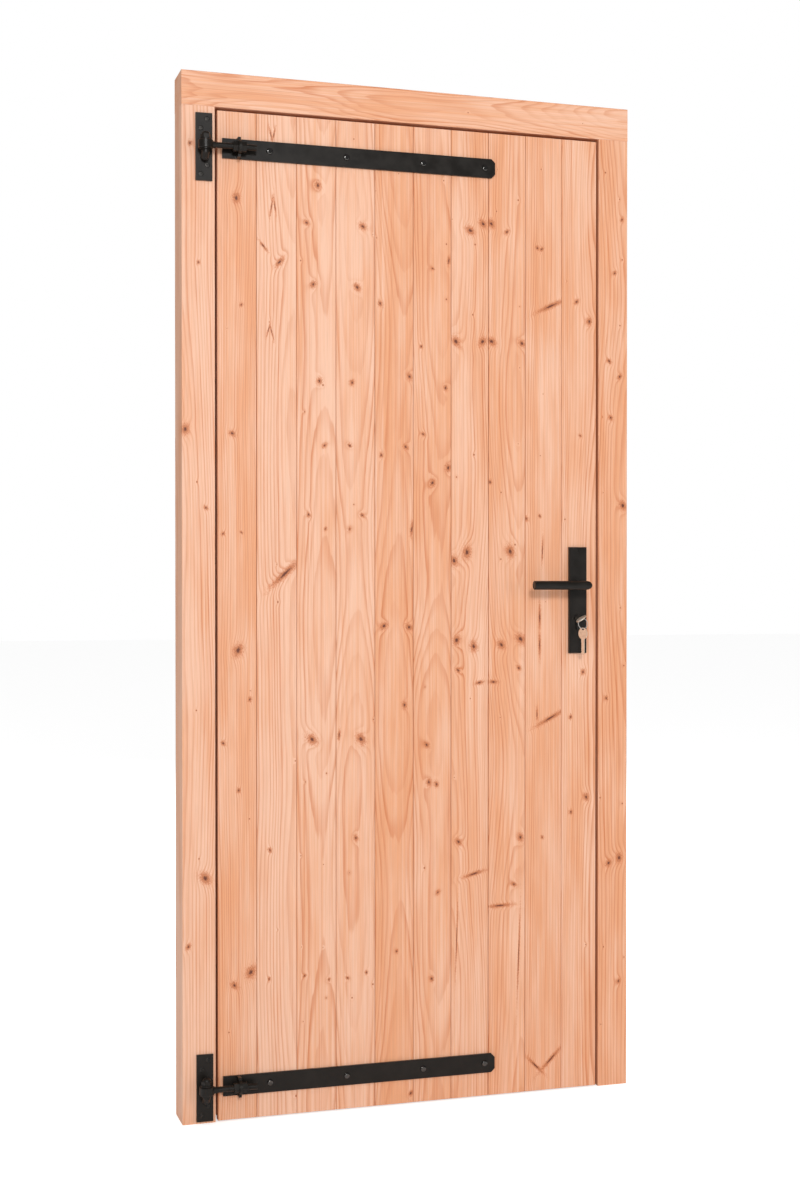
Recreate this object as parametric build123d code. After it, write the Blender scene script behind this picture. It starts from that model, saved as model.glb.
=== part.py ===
from build123d import *
import math
import os

# A plank door in its own timber frame, hung outward on two adjustable strap hinges.
# Millimetres. X runs along the door from the hinge side, Y runs through it towards the inside, Z is up.
# The origin is on the outer side face of the hinge jamb, at floor level and at the middle of its depth.

# The frame
FRAME_WIDTH = 980.0
FRAME_HEIGHT = 2130.0
FRAME_DEPTH = 80.0
JAMB_FACE = 68.0
HEAD_FACE = 70.0
STOP_WIDTH = 14.0
STOP_CLEARANCE = 5.0
FRAME_EDGE_ROUND = 1.5

# The gaps round the leaf
HINGE_GAP = 5.0
LOCK_GAP = 6.0
TOP_GAP = 7.0
FLOOR_GAP = 3.0

# The planks, tongued and grooved
PLANK_COUNT = 10
END_PLANK_TRIM = 3.5
PLANK_THICKNESS = 18.0
PLANK_JOINT = 0.4
PLANK_CHAMFER = 1.0
TONGUE_THICKNESS = 5.0
TONGUE_DEPTH = 7.0
TONGUE_CLEARANCE = 0.2

# The framing behind the planks
FRAMING_THICKNESS = 36.0
FRAMING_SETBACK = 3.0
LEAF_STILE_WIDTH = 90.0
TOP_RAIL_HEIGHT = 110.0
MIDDLE_RAIL_HEIGHT = 120.0
MIDDLE_RAIL_CENTRE = 880.0
BOTTOM_RAIL_HEIGHT = 140.0
BRACE_WIDTH = 80.0
TENON_THICKNESS = 12.0
TENON_LENGTH = 20.0
TENON_SHOULDER = 15.0
FRAMING_CHAMFER = 2.0

# The strap hinges
UPPER_HINGE_FROM_TOP = 153.0
LOWER_HINGE_Z = 73.0
STRAP_LENGTH = 588.0
STRAP_HEIGHT = 40.0
STRAP_THICKNESS = 5.0
STRAP_START_FROM_AXIS = 37.5
STRAP_CORNER = 8.0
STRAP_HOLE_RADIUS = 4.5
STRAP_HOLES_FROM_START = (97.5, 260.5, 427.5, 565.0)
LUG_FROM_AXIS = 66.0
LUG_THICKNESS = 6.0
LUG_TOP_RADIUS = 14.0
LUG_HOLE_CLEARANCE = 0.5
EYE_OUTER_RADIUS = 15.0
EYE_HEIGHT = 17.0
EYE_RUNNING_CLEARANCE = 0.25
SHANK_RADIUS = 6.0
SHANK_END_FROM_AXIS = 104.0
SHANK_NECK_LENGTH = 8.0
SHANK_NECK_RADIUS = 8.0
NUT_ACROSS_FLATS = 19.0
NUT_THICKNESS = 10.8

# The pintles on their plates
AXIS_X = 45.0
PINTLE_PLATE_WIDTH = 34.0
PINTLE_PLATE_HEIGHT = 136.0
PINTLE_PLATE_THICKNESS = 5.0
PINTLE_STANDOFF = 18.0
PIN_RADIUS = 8.0
PIN_STUD_RADIUS = 6.0
PIN_STUD_LENGTH = 13.0
PIN_BEND_SPAN = 8.0
PIN_COLLAR_RADIUS = 12.0
PIN_COLLAR_THICKNESS = 2.0
EYE_SEAT_GAP = 0.3
WASHER_RADIUS = 12.0
WASHER_THICKNESS = 2.5
CAP_NUT_HEXAGON = 8.0
CAP_NUT_DOME_RADIUS = 8.6
CAP_NUT_DOME_HEIGHT = 6.5
CAP_NUT_END_SPACE = 0.5
PINTLE_HOLE_RADIUS = 3.0
PINTLE_HEAD_RADIUS = 5.3
PINTLE_HOLES = ((6.5, 56.0), (-6.5, 37.0), (6.5, -37.0), (-6.5, -56.0))

# The lock, its plates and its levers
LOCK_BACKSET = 45.0
SPINDLE_Z = 1092.0
CYLINDER_DROP = 72.0
PLATE_WIDTH = 40.0
PLATE_HEIGHT = 229.0
PLATE_THICKNESS = 8.0
PLATE_TOP_OVER_SPINDLE = 82.5
PLATE_EDGE_CHAMFER = 0.8
PLATE_SCREW_FROM_END = 8.0
PLATE_SCREW_RADIUS = 2.2
PLATE_SCREW_HEAD_RADIUS = 4.0
LEVER_RADIUS = 9.5
LEVER_REACH = 120.0
LEVER_STANDOFF = 45.0
LEVER_CLEARANCE = 0.4
LEVER_INSET = 5.0
LEVER_END_CHAMFER = 0.8
SPINDLE_SIZE = 8.0
SPINDLE_HOLE_RADIUS = 11.0
SPINDLE_DEPTH_IN_LEVER = 18.0
CYLINDER_RADIUS = 8.5
CYLINDER_LEG_WIDTH = 10.0
CYLINDER_HEIGHT = 33.0
CYLINDER_PROUD = 3.0
CYLINDER_FIT = 0.3
PLUG_RADIUS = 6.5
PLUG_CLEARANCE = 0.2
PLUG_DEPTH = 31.0
CASE_HEIGHT = 168.0
CASE_DEPTH = 66.0
CASE_THICKNESS = 16.0
CASE_FIT = 0.3
FACEPLATE_HEIGHT = 235.0
FACEPLATE_WIDTH = 22.0
FACEPLATE_THICKNESS = 3.0
LATCH_OVER_SPINDLE = 14.0
LATCH_HEIGHT = 20.0
LATCH_PROUD = 1.0
BOLT_UNDER_SPINDLE = 40.0
BOLT_HEIGHT = 30.0
BOLT_THICKNESS = 11.0
BOLT_LENGTH = 25.0
BOLT_FIT = 0.3
STRIKE_HEIGHT = 200.0
STRIKE_MARGIN = 2.0
STRIKE_POCKET_DEPTH = 20.0

# The keys and their ring
KEY_THICKNESS = 1.7
KEY_BOW_RADIUS = 12.5
KEY_HOLE_WIDTH = 3.8
KEY_HOLE_LENGTH = 8.0
KEY_HOLE_OFFSET = 9.4
KEY_BLADE_WIDTH = 8.2
KEY_BLADE_LENGTH = 31.0
KEY_SHOULDER_GAP = 1.5
KEY_TILT = 55.0
KEY_NOTCH_DEPTH = 2.0
KEY_NOTCH_COUNT = 5
RING_RADIUS = 10.5
SPARE_KEY_DROP = 1.1
RING_WIRE_RADIUS = 0.6
SPARE_KEY_YAW = 23.0

# How near to a place an edge or a face counts as being there
NEAR = 0.01

# Worked out from the values above
FRONT = -FRAME_DEPTH / 2
BACK = FRAME_DEPTH / 2
OPENING_TOP = FRAME_HEIGHT - HEAD_FACE
LEAF_LEFT = JAMB_FACE + HINGE_GAP
LEAF_RIGHT = FRAME_WIDTH - JAMB_FACE - LOCK_GAP
LEAF_BOTTOM = FLOOR_GAP
PLANK_PITCH = (LEAF_RIGHT - LEAF_LEFT + 2 * END_PLANK_TRIM) / PLANK_COUNT
LOCK_X = LEAF_RIGHT - LOCK_BACKSET
LEAF_TOP = OPENING_TOP - TOP_GAP
PLANK_BACK = FRONT + PLANK_THICKNESS
LEAF_BACK = PLANK_BACK + FRAMING_THICKNESS
STOP_FRONT = LEAF_BACK + STOP_CLEARANCE
FRAMING_LEFT = LEAF_LEFT + FRAMING_SETBACK
FRAMING_RIGHT = LEAF_RIGHT - FRAMING_SETBACK
FIELD_LEFT = FRAMING_LEFT + LEAF_STILE_WIDTH
FIELD_RIGHT = FRAMING_RIGHT - LEAF_STILE_WIDTH
FRAMING_MIDDLE_Y = (PLANK_BACK + LEAF_BACK) / 2
TOP_RAIL_BOTTOM = LEAF_TOP - TOP_RAIL_HEIGHT
BOTTOM_RAIL_TOP = LEAF_BOTTOM + BOTTOM_RAIL_HEIGHT
MIDDLE_RAIL_BOTTOM = MIDDLE_RAIL_CENTRE - MIDDLE_RAIL_HEIGHT / 2
MIDDLE_RAIL_TOP = MIDDLE_RAIL_CENTRE + MIDDLE_RAIL_HEIGHT / 2
UPPER_HINGE_Z = FRAME_HEIGHT - UPPER_HINGE_FROM_TOP
AXIS_Y = FRONT - PINTLE_PLATE_THICKNESS - PINTLE_STANDOFF
PIN_MITRE = math.radians(45 / 2)
CYLINDER_Z = SPINDLE_Z - CYLINDER_DROP
PLATE_TOP = SPINDLE_Z + PLATE_TOP_OVER_SPINDLE
PLATE_BOTTOM = PLATE_TOP - PLATE_HEIGHT
OUTSIDE_PLATE_FACE = FRONT - PLATE_THICKNESS
INSIDE_PLATE_FACE = LEAF_BACK + PLATE_THICKNESS
CYLINDER_FRONT = OUTSIDE_PLATE_FACE - CYLINDER_PROUD
LOCK_MIDDLE_Z = (SPINDLE_Z + CYLINDER_Z) / 2
LATCH_Z = SPINDLE_Z + LATCH_OVER_SPINDLE
BOLT_Z = SPINDLE_Z - BOLT_UNDER_SPINDLE
JAMB_INNER = FRAME_WIDTH - JAMB_FACE
KEY_BOW_Y = CYLINDER_FRONT - KEY_SHOULDER_GAP - KEY_BOW_RADIUS
RING_Y = KEY_BOW_Y - KEY_HOLE_OFFSET


def block(x0, x1, y0, y1, z0, z1):
    """A box between two opposite corners."""
    size = Box(abs(x1 - x0), abs(y1 - y0), abs(z1 - z0))
    return Pos((x0 + x1) / 2, (y0 + y1) / 2, (z0 + z1) / 2) * size


def rod_y(radius, x, z, y0, y1):
    """A round bar along Y."""
    return Pos(x, (y0 + y1) / 2, z) * Rot(90, 0, 0) * Cylinder(radius, abs(y1 - y0))


def rod_x(radius, y, z, x0, x1):
    """A round bar along X."""
    return Pos((x0 + x1) / 2, y, z) * Rot(0, 90, 0) * Cylinder(radius, abs(x1 - x0))


def rod_z(radius, x, y, z0, z1):
    """A round bar along Z."""
    return Pos(x, y, (z0 + z1) / 2) * Cylinder(radius, abs(z1 - z0))


def edges_along(shape, axis):
    """The straight edges of a shape that run along an axis."""
    return shape.edges().filter_by(axis)


def at_place(shapes, axis, place):
    """Those of some edges or faces that lie at one place along an axis."""
    return shapes.filter_by_position(axis, place - NEAR, place + NEAR)


def hexagon_x(y, z, x0, x1):
    """A hexagonal nut body along X, with a point up."""
    profile = RegularPolygon(NUT_ACROSS_FLATS / 2, 6, major_radius=False, rotation=30)
    return Pos(x0, y, z) * Rot(0, 90, 0) * extrude(profile, amount=x1 - x0)


def hexagon_z(x, y, z0, z1):
    """A hexagonal nut body along Z."""
    profile = RegularPolygon(NUT_ACROSS_FLATS / 2, 6, major_radius=False)
    return Pos(x, y, z0) * extrude(profile, amount=z1 - z0)


def countersunk_hole(x, z, y_face, y_back, hole_radius, head_radius):
    """A screw hole along Y, with a right-angled countersink in its first face."""
    depth = head_radius - hole_radius
    inward = 1 if y_back > y_face else -1
    cone = Rot(-90 * inward, 0, 0) * Cone(head_radius, hole_radius, depth)
    return rod_y(hole_radius, x, z, y_face, y_back) + Pos(x, y_face + inward * depth / 2, z) * cone


def cylinder_profile(y0, y1, grow=0.0):
    """The pear-shaped section of a profile cylinder, along Y, grown by a fit."""
    foot = CYLINDER_LEG_WIDTH / 2
    round_part = rod_y(CYLINDER_RADIUS + grow, LOCK_X, CYLINDER_Z, y0, y1)
    leg_end = CYLINDER_Z + CYLINDER_RADIUS - CYLINDER_HEIGHT
    leg = block(LOCK_X - foot - grow, LOCK_X + foot + grow, y0, y1, leg_end + foot, CYLINDER_Z)
    toe = rod_y(foot + grow, LOCK_X, leg_end + foot, y0, y1)
    return round_part + leg + toe


# The frame


def rounded_timber(timber, axis):
    """Takes the sharp arrises off a timber along its length."""
    return fillet(edges_along(timber, axis), FRAME_EDGE_ROUND)


def strike_pocket_cut(x0, x1, centre_z, height):
    """The space behind the strike plate for the latch or the bolt."""
    half_y = BOLT_THICKNESS / 2 + STRIKE_MARGIN
    half_z = height / 2 + STRIKE_MARGIN
    y = FRAMING_MIDDLE_Y
    return block(x0, x1, y - half_y, y + half_y, centre_z - half_z, centre_z + half_z)


def strike_outline(x0, x1):
    """The outline of the strike plate on the lock jamb."""
    half_y = FACEPLATE_WIDTH / 2
    half_z = STRIKE_HEIGHT / 2
    y = FRAMING_MIDDLE_Y
    return block(x0, x1, y - half_y, y + half_y, LOCK_MIDDLE_Z - half_z, LOCK_MIDDLE_Z + half_z)


def make_hinge_jamb():
    timber = block(0, JAMB_FACE, FRONT, BACK, 0, OPENING_TOP)
    return rounded_timber(timber, Axis.Z)


def make_lock_jamb():
    timber = block(JAMB_INNER, FRAME_WIDTH, FRONT, BACK, 0, OPENING_TOP)
    timber = rounded_timber(timber, Axis.Z)
    timber -= strike_outline(JAMB_INNER, JAMB_INNER + FACEPLATE_THICKNESS)
    for centre_z, height in ((LATCH_Z, LATCH_HEIGHT), (BOLT_Z, BOLT_HEIGHT)):
        timber -= strike_pocket_cut(JAMB_INNER, JAMB_INNER + STRIKE_POCKET_DEPTH, centre_z, height)
    return timber


def make_head_jamb():
    timber = block(0, FRAME_WIDTH, FRONT, BACK, OPENING_TOP, FRAME_HEIGHT)
    return rounded_timber(timber, Axis.X)


def make_strike_plate():
    plate = strike_outline(JAMB_INNER, JAMB_INNER + FACEPLATE_THICKNESS)
    for centre_z, height in ((LATCH_Z, LATCH_HEIGHT), (BOLT_Z, BOLT_HEIGHT)):
        plate -= strike_pocket_cut(JAMB_INNER, JAMB_INNER + FACEPLATE_THICKNESS, centre_z, height)
    return plate


def make_side_stop(x0, x1):
    """A stop strip up one jamb, ending under the head's strip."""
    strip = block(x0, x1, STOP_FRONT, BACK, 0, OPENING_TOP - STOP_WIDTH)
    return chamfer(edges_along(strip, Axis.Z), 1.0)


def make_head_stop():
    strip = block(JAMB_FACE, JAMB_INNER, STOP_FRONT, BACK, OPENING_TOP - STOP_WIDTH, OPENING_TOP)
    return chamfer(edges_along(strip, Axis.X), 1.0)


# The leaf's planks and framing


def plank_edges(index):
    """The two visible edges of a plank, the end planks trimmed to the leaf."""
    start = LEAF_LEFT - END_PLANK_TRIM + index * PLANK_PITCH
    left = LEAF_LEFT if index == 0 else start + PLANK_JOINT / 2
    last = index == PLANK_COUNT - 1
    right = LEAF_RIGHT if last else start + PLANK_PITCH - PLANK_JOINT / 2
    return left, right


def make_plank(index):
    """A board with a tongue on its right edge and a groove in its left edge."""
    left, right = plank_edges(index)
    board = block(left, right, FRONT, PLANK_BACK, LEAF_BOTTOM, LEAF_TOP)
    board = chamfer(edges_along(board, Axis.Z), PLANK_CHAMFER)
    middle = (FRONT + PLANK_BACK) / 2
    if index > 0:
        half = TONGUE_THICKNESS / 2 + TONGUE_CLEARANCE
        depth = TONGUE_DEPTH + TONGUE_CLEARANCE
        board -= block(left, left + depth, middle - half, middle + half, LEAF_BOTTOM, LEAF_TOP)
    if index < PLANK_COUNT - 1:
        half = TONGUE_THICKNESS / 2
        board += block(right, right + TONGUE_DEPTH, middle - half, middle + half, LEAF_BOTTOM, LEAF_TOP)
    if left < LOCK_X < right:
        board -= rod_y(SPINDLE_HOLE_RADIUS, LOCK_X, SPINDLE_Z, FRONT, PLANK_BACK)
        board -= cylinder_profile(FRONT, PLANK_BACK, CYLINDER_FIT)
    return board


def tenon(x0, x1, rail_bottom, rail_top):
    """A rail's tenon, which is also the mortise that it fills."""
    half = TENON_THICKNESS / 2
    y = FRAMING_MIDDLE_Y
    return block(x0, x1, y - half, y + half, rail_bottom + TENON_SHOULDER, rail_top - TENON_SHOULDER)


def rail_levels():
    """The bottom and top of each rail of the leaf, by name."""
    return {
        "leaf_top_rail": (TOP_RAIL_BOTTOM, LEAF_TOP),
        "leaf_middle_rail": (MIDDLE_RAIL_BOTTOM, MIDDLE_RAIL_TOP),
        "leaf_bottom_rail": (LEAF_BOTTOM, BOTTOM_RAIL_TOP),
    }


def make_leaf_rail(bottom, top):
    rail = block(FIELD_LEFT, FIELD_RIGHT, PLANK_BACK, LEAF_BACK, bottom, top)
    rail += tenon(FIELD_LEFT - TENON_LENGTH, FIELD_LEFT, bottom, top)
    rail += tenon(FIELD_RIGHT, FIELD_RIGHT + TENON_LENGTH, bottom, top)
    return rail


def make_leaf_stile(x0, x1, mortise_x0, mortise_x1):
    stile = block(x0, x1, PLANK_BACK, LEAF_BACK, LEAF_BOTTOM, LEAF_TOP)
    back_edges = at_place(edges_along(stile, Axis.Z), Axis.Y, LEAF_BACK)
    stile = chamfer(back_edges, FRAMING_CHAMFER)
    for bottom, top in rail_levels().values():
        stile -= tenon(mortise_x0, mortise_x1, bottom, top)
    return stile


def case_outline(grow=0.0):
    """The lock case, let into the lock stile from its edge."""
    half_y = CASE_THICKNESS / 2 + grow
    half_z = CASE_HEIGHT / 2 + grow
    x1 = FRAMING_RIGHT - FACEPLATE_THICKNESS
    y = FRAMING_MIDDLE_Y
    return block(x1 - CASE_DEPTH - grow, x1, y - half_y, y + half_y, LOCK_MIDDLE_Z - half_z, LOCK_MIDDLE_Z + half_z)


def faceplate_outline():
    """The lock's face plate, flush in the edge of the lock stile."""
    half_y = FACEPLATE_WIDTH / 2
    half_z = FACEPLATE_HEIGHT / 2
    y = FRAMING_MIDDLE_Y
    x0 = FRAMING_RIGHT - FACEPLATE_THICKNESS
    return block(x0, FRAMING_RIGHT, y - half_y, y + half_y, LOCK_MIDDLE_Z - half_z, LOCK_MIDDLE_Z + half_z)


def make_leaf_hinge_stile():
    return make_leaf_stile(FRAMING_LEFT, FIELD_LEFT, FIELD_LEFT - TENON_LENGTH, FIELD_LEFT)


def make_leaf_lock_stile():
    stile = make_leaf_stile(FIELD_RIGHT, FRAMING_RIGHT, FIELD_RIGHT, FIELD_RIGHT + TENON_LENGTH)
    stile -= case_outline(CASE_FIT)
    stile -= faceplate_outline()
    stile -= rod_y(SPINDLE_HOLE_RADIUS, LOCK_X, SPINDLE_Z, PLANK_BACK, LEAF_BACK)
    stile -= cylinder_profile(PLANK_BACK, LEAF_BACK, CYLINDER_FIT)
    return stile


def make_brace(bottom, top):
    """A diagonal brace that rises from the hinge side to the lock side of one field."""
    width = FIELD_RIGHT - FIELD_LEFT
    height = top - bottom
    angle = math.degrees(math.atan2(height, width))
    length = 2 * math.hypot(width, height)
    middle = ((FIELD_LEFT + FIELD_RIGHT) / 2, FRAMING_MIDDLE_Y, (bottom + top) / 2)
    bar = Box(length, FRAMING_THICKNESS, BRACE_WIDTH)
    bar = Pos(*middle) * Rot(0, -angle, 0) * bar
    return bar & block(FIELD_LEFT, FIELD_RIGHT, PLANK_BACK, LEAF_BACK, bottom, top)


# The strap hinges


def make_strap(z):
    """A flat strap with clipped corners, fixing holes and a lug for the eye bolt."""
    x0 = AXIS_X + STRAP_START_FROM_AXIS
    x1 = x0 + STRAP_LENGTH
    face = FRONT - STRAP_THICKNESS
    strap = block(x0, x1, face, FRONT, z - STRAP_HEIGHT / 2, z + STRAP_HEIGHT / 2)
    corners = at_place(edges_along(strap, Axis.Y), Axis.X, x1)
    strap = chamfer(corners, STRAP_CORNER)
    lug_x = AXIS_X + LUG_FROM_AXIS
    lug = block(lug_x, lug_x + LUG_THICKNESS, AXIS_Y, face, z - STRAP_HEIGHT / 2, z + STRAP_HEIGHT / 2)
    lug += rod_x(LUG_TOP_RADIUS, AXIS_Y, z, lug_x, lug_x + LUG_THICKNESS)
    lug -= rod_x(SHANK_RADIUS + LUG_HOLE_CLEARANCE, AXIS_Y, z, lug_x, lug_x + LUG_THICKNESS)
    strap += lug
    for along in STRAP_HOLES_FROM_START:
        strap -= rod_y(STRAP_HOLE_RADIUS, x0 + along, z, face, FRONT)
    return strap


def make_eye_bolt(z):
    """An eye that turns on the pintle, with a threaded shank through the strap's lug."""
    bore = PIN_RADIUS + EYE_RUNNING_CLEARANCE
    eye = rod_z(EYE_OUTER_RADIUS, AXIS_X, AXIS_Y, z - EYE_HEIGHT / 2, z + EYE_HEIGHT / 2)
    eye = chamfer(eye.edges().filter_by(GeomType.CIRCLE), 1.0)
    neck_end = AXIS_X + EYE_OUTER_RADIUS + SHANK_NECK_LENGTH
    neck_length = SHANK_NECK_LENGTH + EYE_OUTER_RADIUS / 2
    neck = Cone(SHANK_NECK_RADIUS, SHANK_RADIUS, neck_length)
    neck = Pos(neck_end - neck_length / 2, AXIS_Y, z) * Rot(0, 90, 0) * neck
    shank = rod_x(SHANK_RADIUS, AXIS_Y, z, neck_end, AXIS_X + SHANK_END_FROM_AXIS)
    bolt = eye + neck + shank
    return bolt - rod_z(bore, AXIS_X, AXIS_Y, z - EYE_HEIGHT, z + EYE_HEIGHT)


def make_strap_nut(z, x0):
    """A nut on the eye bolt, tight against one side of the lug."""
    nut = hexagon_x(AXIS_Y, z, x0, x0 + NUT_THICKNESS)
    return nut - rod_x(SHANK_RADIUS, AXIS_Y, z, x0, x0 + NUT_THICKNESS)


def make_strap_nuts():
    nuts = []
    for z in (UPPER_HINGE_Z, LOWER_HINGE_Z):
        lug_x = AXIS_X + LUG_FROM_AXIS
        nuts.append(make_strap_nut(z, lug_x - NUT_THICKNESS))
        nuts.append(make_strap_nut(z, lug_x + LUG_THICKNESS))
    return nuts


def bent_pin(bar_z, y_end, z_end):
    """A round pin that turns upwards through a short diagonal run, mitred at both of its ends."""
    across = math.sin(PIN_MITRE)
    along = math.cos(PIN_MITRE)
    upper_mitre = Plane(origin=(AXIS_X, AXIS_Y, bar_z + PIN_BEND_SPAN), z_dir=(0, -across, along))
    lower_mitre = Plane(origin=(AXIS_X, AXIS_Y + PIN_BEND_SPAN, bar_z), z_dir=(0, along, -across))
    diagonal = Rot(45, 0, 0) * Cylinder(PIN_RADIUS, 2 * (PIN_BEND_SPAN + 2 * PIN_RADIUS))
    diagonal = Pos(AXIS_X, AXIS_Y + PIN_BEND_SPAN / 2, bar_z + PIN_BEND_SPAN / 2) * diagonal
    diagonal = split(diagonal, bisect_by=upper_mitre, keep=Keep.BOTTOM)
    diagonal = split(diagonal, bisect_by=lower_mitre, keep=Keep.BOTTOM)
    upright = rod_z(PIN_RADIUS, AXIS_X, AXIS_Y, bar_z, z_end)
    bar = rod_y(PIN_RADIUS, AXIS_X, bar_z, AXIS_Y, y_end)
    upright = split(upright, bisect_by=upper_mitre, keep=Keep.TOP)
    bar = split(bar, bisect_by=lower_mitre, keep=Keep.TOP)
    return upright + diagonal + bar


def make_pintle(z):
    """A plate with a bent pin: out of the plate below the eye, then up through it."""
    face = FRONT - PINTLE_PLATE_THICKNESS
    half_width = PINTLE_PLATE_WIDTH / 2
    half_height = PINTLE_PLATE_HEIGHT / 2
    plate = block(AXIS_X - half_width, AXIS_X + half_width, face, FRONT, z - half_height, z + half_height)
    for across, up in PINTLE_HOLES:
        plate -= countersunk_hole(AXIS_X + across, z + up, face, FRONT, PINTLE_HOLE_RADIUS, PINTLE_HEAD_RADIUS)
    seat = z - EYE_HEIGHT / 2 - EYE_SEAT_GAP
    shoulder = z + EYE_HEIGHT / 2 + EYE_SEAT_GAP
    bar_z = seat - PIN_COLLAR_THICKNESS - PIN_RADIUS * math.tan(PIN_MITRE) - PIN_BEND_SPAN
    pin = bent_pin(bar_z, face, shoulder)
    pin += rod_z(PIN_STUD_RADIUS, AXIS_X, AXIS_Y, shoulder, shoulder + PIN_STUD_LENGTH)
    pin += rod_z(PIN_COLLAR_RADIUS, AXIS_X, AXIS_Y, seat - PIN_COLLAR_THICKNESS, seat)
    return plate + pin


def make_pintle_nut(z):
    """A washer and a cap nut on the pin's stud, which keep the eye from lifting off."""
    base = z + EYE_HEIGHT / 2 + EYE_SEAT_GAP
    nut = rod_z(WASHER_RADIUS, AXIS_X, AXIS_Y, base, base + WASHER_THICKNESS)
    hexagon_top = base + WASHER_THICKNESS + CAP_NUT_HEXAGON
    dome_top = hexagon_top + CAP_NUT_DOME_HEIGHT
    dome = rod_z(CAP_NUT_DOME_RADIUS, AXIS_X, AXIS_Y, hexagon_top, dome_top)
    dome = fillet(at_place(dome.edges(), Axis.Z, dome_top), CAP_NUT_DOME_HEIGHT - NEAR)
    nut += hexagon_z(AXIS_X, AXIS_Y, base + WASHER_THICKNESS, hexagon_top)
    nut += dome
    return nut - rod_z(PIN_STUD_RADIUS, AXIS_X, AXIS_Y, base, base + PIN_STUD_LENGTH + CAP_NUT_END_SPACE)


# The lock and the levers


def make_handle_plate(y_face, y_wood):
    """A long plate with the spindle hole, the cylinder hole and two screw holes."""
    half = PLATE_WIDTH / 2
    plate = block(LOCK_X - half, LOCK_X + half, y_face, y_wood, PLATE_BOTTOM, PLATE_TOP)
    plate = chamfer(at_place(plate.faces(), Axis.Y, y_face).edges(), PLATE_EDGE_CHAMFER)
    plate -= rod_y(LEVER_RADIUS + LEVER_CLEARANCE, LOCK_X, SPINDLE_Z, y_face, y_wood)
    plate -= cylinder_profile(y_face, y_wood, CYLINDER_FIT)
    for z in (PLATE_TOP - PLATE_SCREW_FROM_END, PLATE_BOTTOM + PLATE_SCREW_FROM_END):
        plate -= countersunk_hole(LOCK_X, z, y_face, y_wood, PLATE_SCREW_RADIUS, PLATE_SCREW_HEAD_RADIUS)
    return plate


def make_lever(y_face, outward):
    """A round bar, mitred at a right angle, from the plate to the free end."""
    y_start = y_face - outward * LEVER_INSET
    y_grip = y_face + outward * LEVER_STANDOFF
    mitre = Plane(origin=(LOCK_X, y_grip, SPINDLE_Z), z_dir=(1, -outward, 0))
    neck = rod_y(LEVER_RADIUS, LOCK_X, SPINDLE_Z, y_start, y_grip + outward * LEVER_RADIUS)
    grip = rod_x(LEVER_RADIUS, y_grip, SPINDLE_Z, LOCK_X - LEVER_REACH, LOCK_X + LEVER_RADIUS)
    grip = chamfer(at_place(grip.edges(), Axis.X, LOCK_X - LEVER_REACH), LEVER_END_CHAMFER)
    lever = split(neck, bisect_by=mitre, keep=Keep.TOP) + split(grip, bisect_by=mitre, keep=Keep.BOTTOM)
    half = SPINDLE_SIZE / 2
    y_end = y_face + outward * SPINDLE_DEPTH_IN_LEVER
    return lever - block(LOCK_X - half, LOCK_X + half, y_start, y_end, SPINDLE_Z - half, SPINDLE_Z + half)


def make_lever_spindle():
    half = SPINDLE_SIZE / 2
    y0 = OUTSIDE_PLATE_FACE - SPINDLE_DEPTH_IN_LEVER
    y1 = INSIDE_PLATE_FACE + SPINDLE_DEPTH_IN_LEVER
    return block(LOCK_X - half, LOCK_X + half, y0, y1, SPINDLE_Z - half, SPINDLE_Z + half)


def bolt_block(x1, centre_z, height, grow=0.0):
    """The latch or the bolt, drawn back into the case."""
    half_y = BOLT_THICKNESS / 2 + grow
    half_z = height / 2 + grow
    y = FRAMING_MIDDLE_Y
    return block(x1 - BOLT_LENGTH - grow, x1, y - half_y, y + half_y, centre_z - half_z, centre_z + half_z)


def make_lock_case():
    case = case_outline()
    for centre_z, height in ((LATCH_Z, LATCH_HEIGHT), (BOLT_Z, BOLT_HEIGHT)):
        case -= bolt_block(FRAMING_RIGHT, centre_z, height, BOLT_FIT)
    case -= rod_y(SPINDLE_HOLE_RADIUS, LOCK_X, SPINDLE_Z, PLANK_BACK, LEAF_BACK)
    case -= cylinder_profile(PLANK_BACK, LEAF_BACK, CYLINDER_FIT)
    return case


def make_lock_faceplate():
    plate = faceplate_outline()
    for centre_z, height in ((LATCH_Z, LATCH_HEIGHT), (BOLT_Z, BOLT_HEIGHT)):
        plate -= bolt_block(FRAMING_RIGHT, centre_z, height, BOLT_FIT)
    return plate


def make_lock_bolts():
    latch = bolt_block(FRAMING_RIGHT + LATCH_PROUD, LATCH_Z, LATCH_HEIGHT)
    bolt = bolt_block(FRAMING_RIGHT, BOLT_Z, BOLT_HEIGHT)
    return [latch, bolt]


def make_lock_cylinder():
    """The profile cylinder through both plates, bored for the plug from outside."""
    body = cylinder_profile(CYLINDER_FRONT, INSIDE_PLATE_FACE + CYLINDER_PROUD)
    bore = PLUG_RADIUS + PLUG_CLEARANCE
    return body - rod_y(bore, LOCK_X, CYLINDER_Z, CYLINDER_FRONT, CYLINDER_FRONT + PLUG_DEPTH + PLUG_CLEARANCE)


# The keys. A key is first drawn in the X = 0 plane with its shoulder at the origin,
# its blade along +Y and its bow along -Y, and then turned and moved into place.


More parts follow.
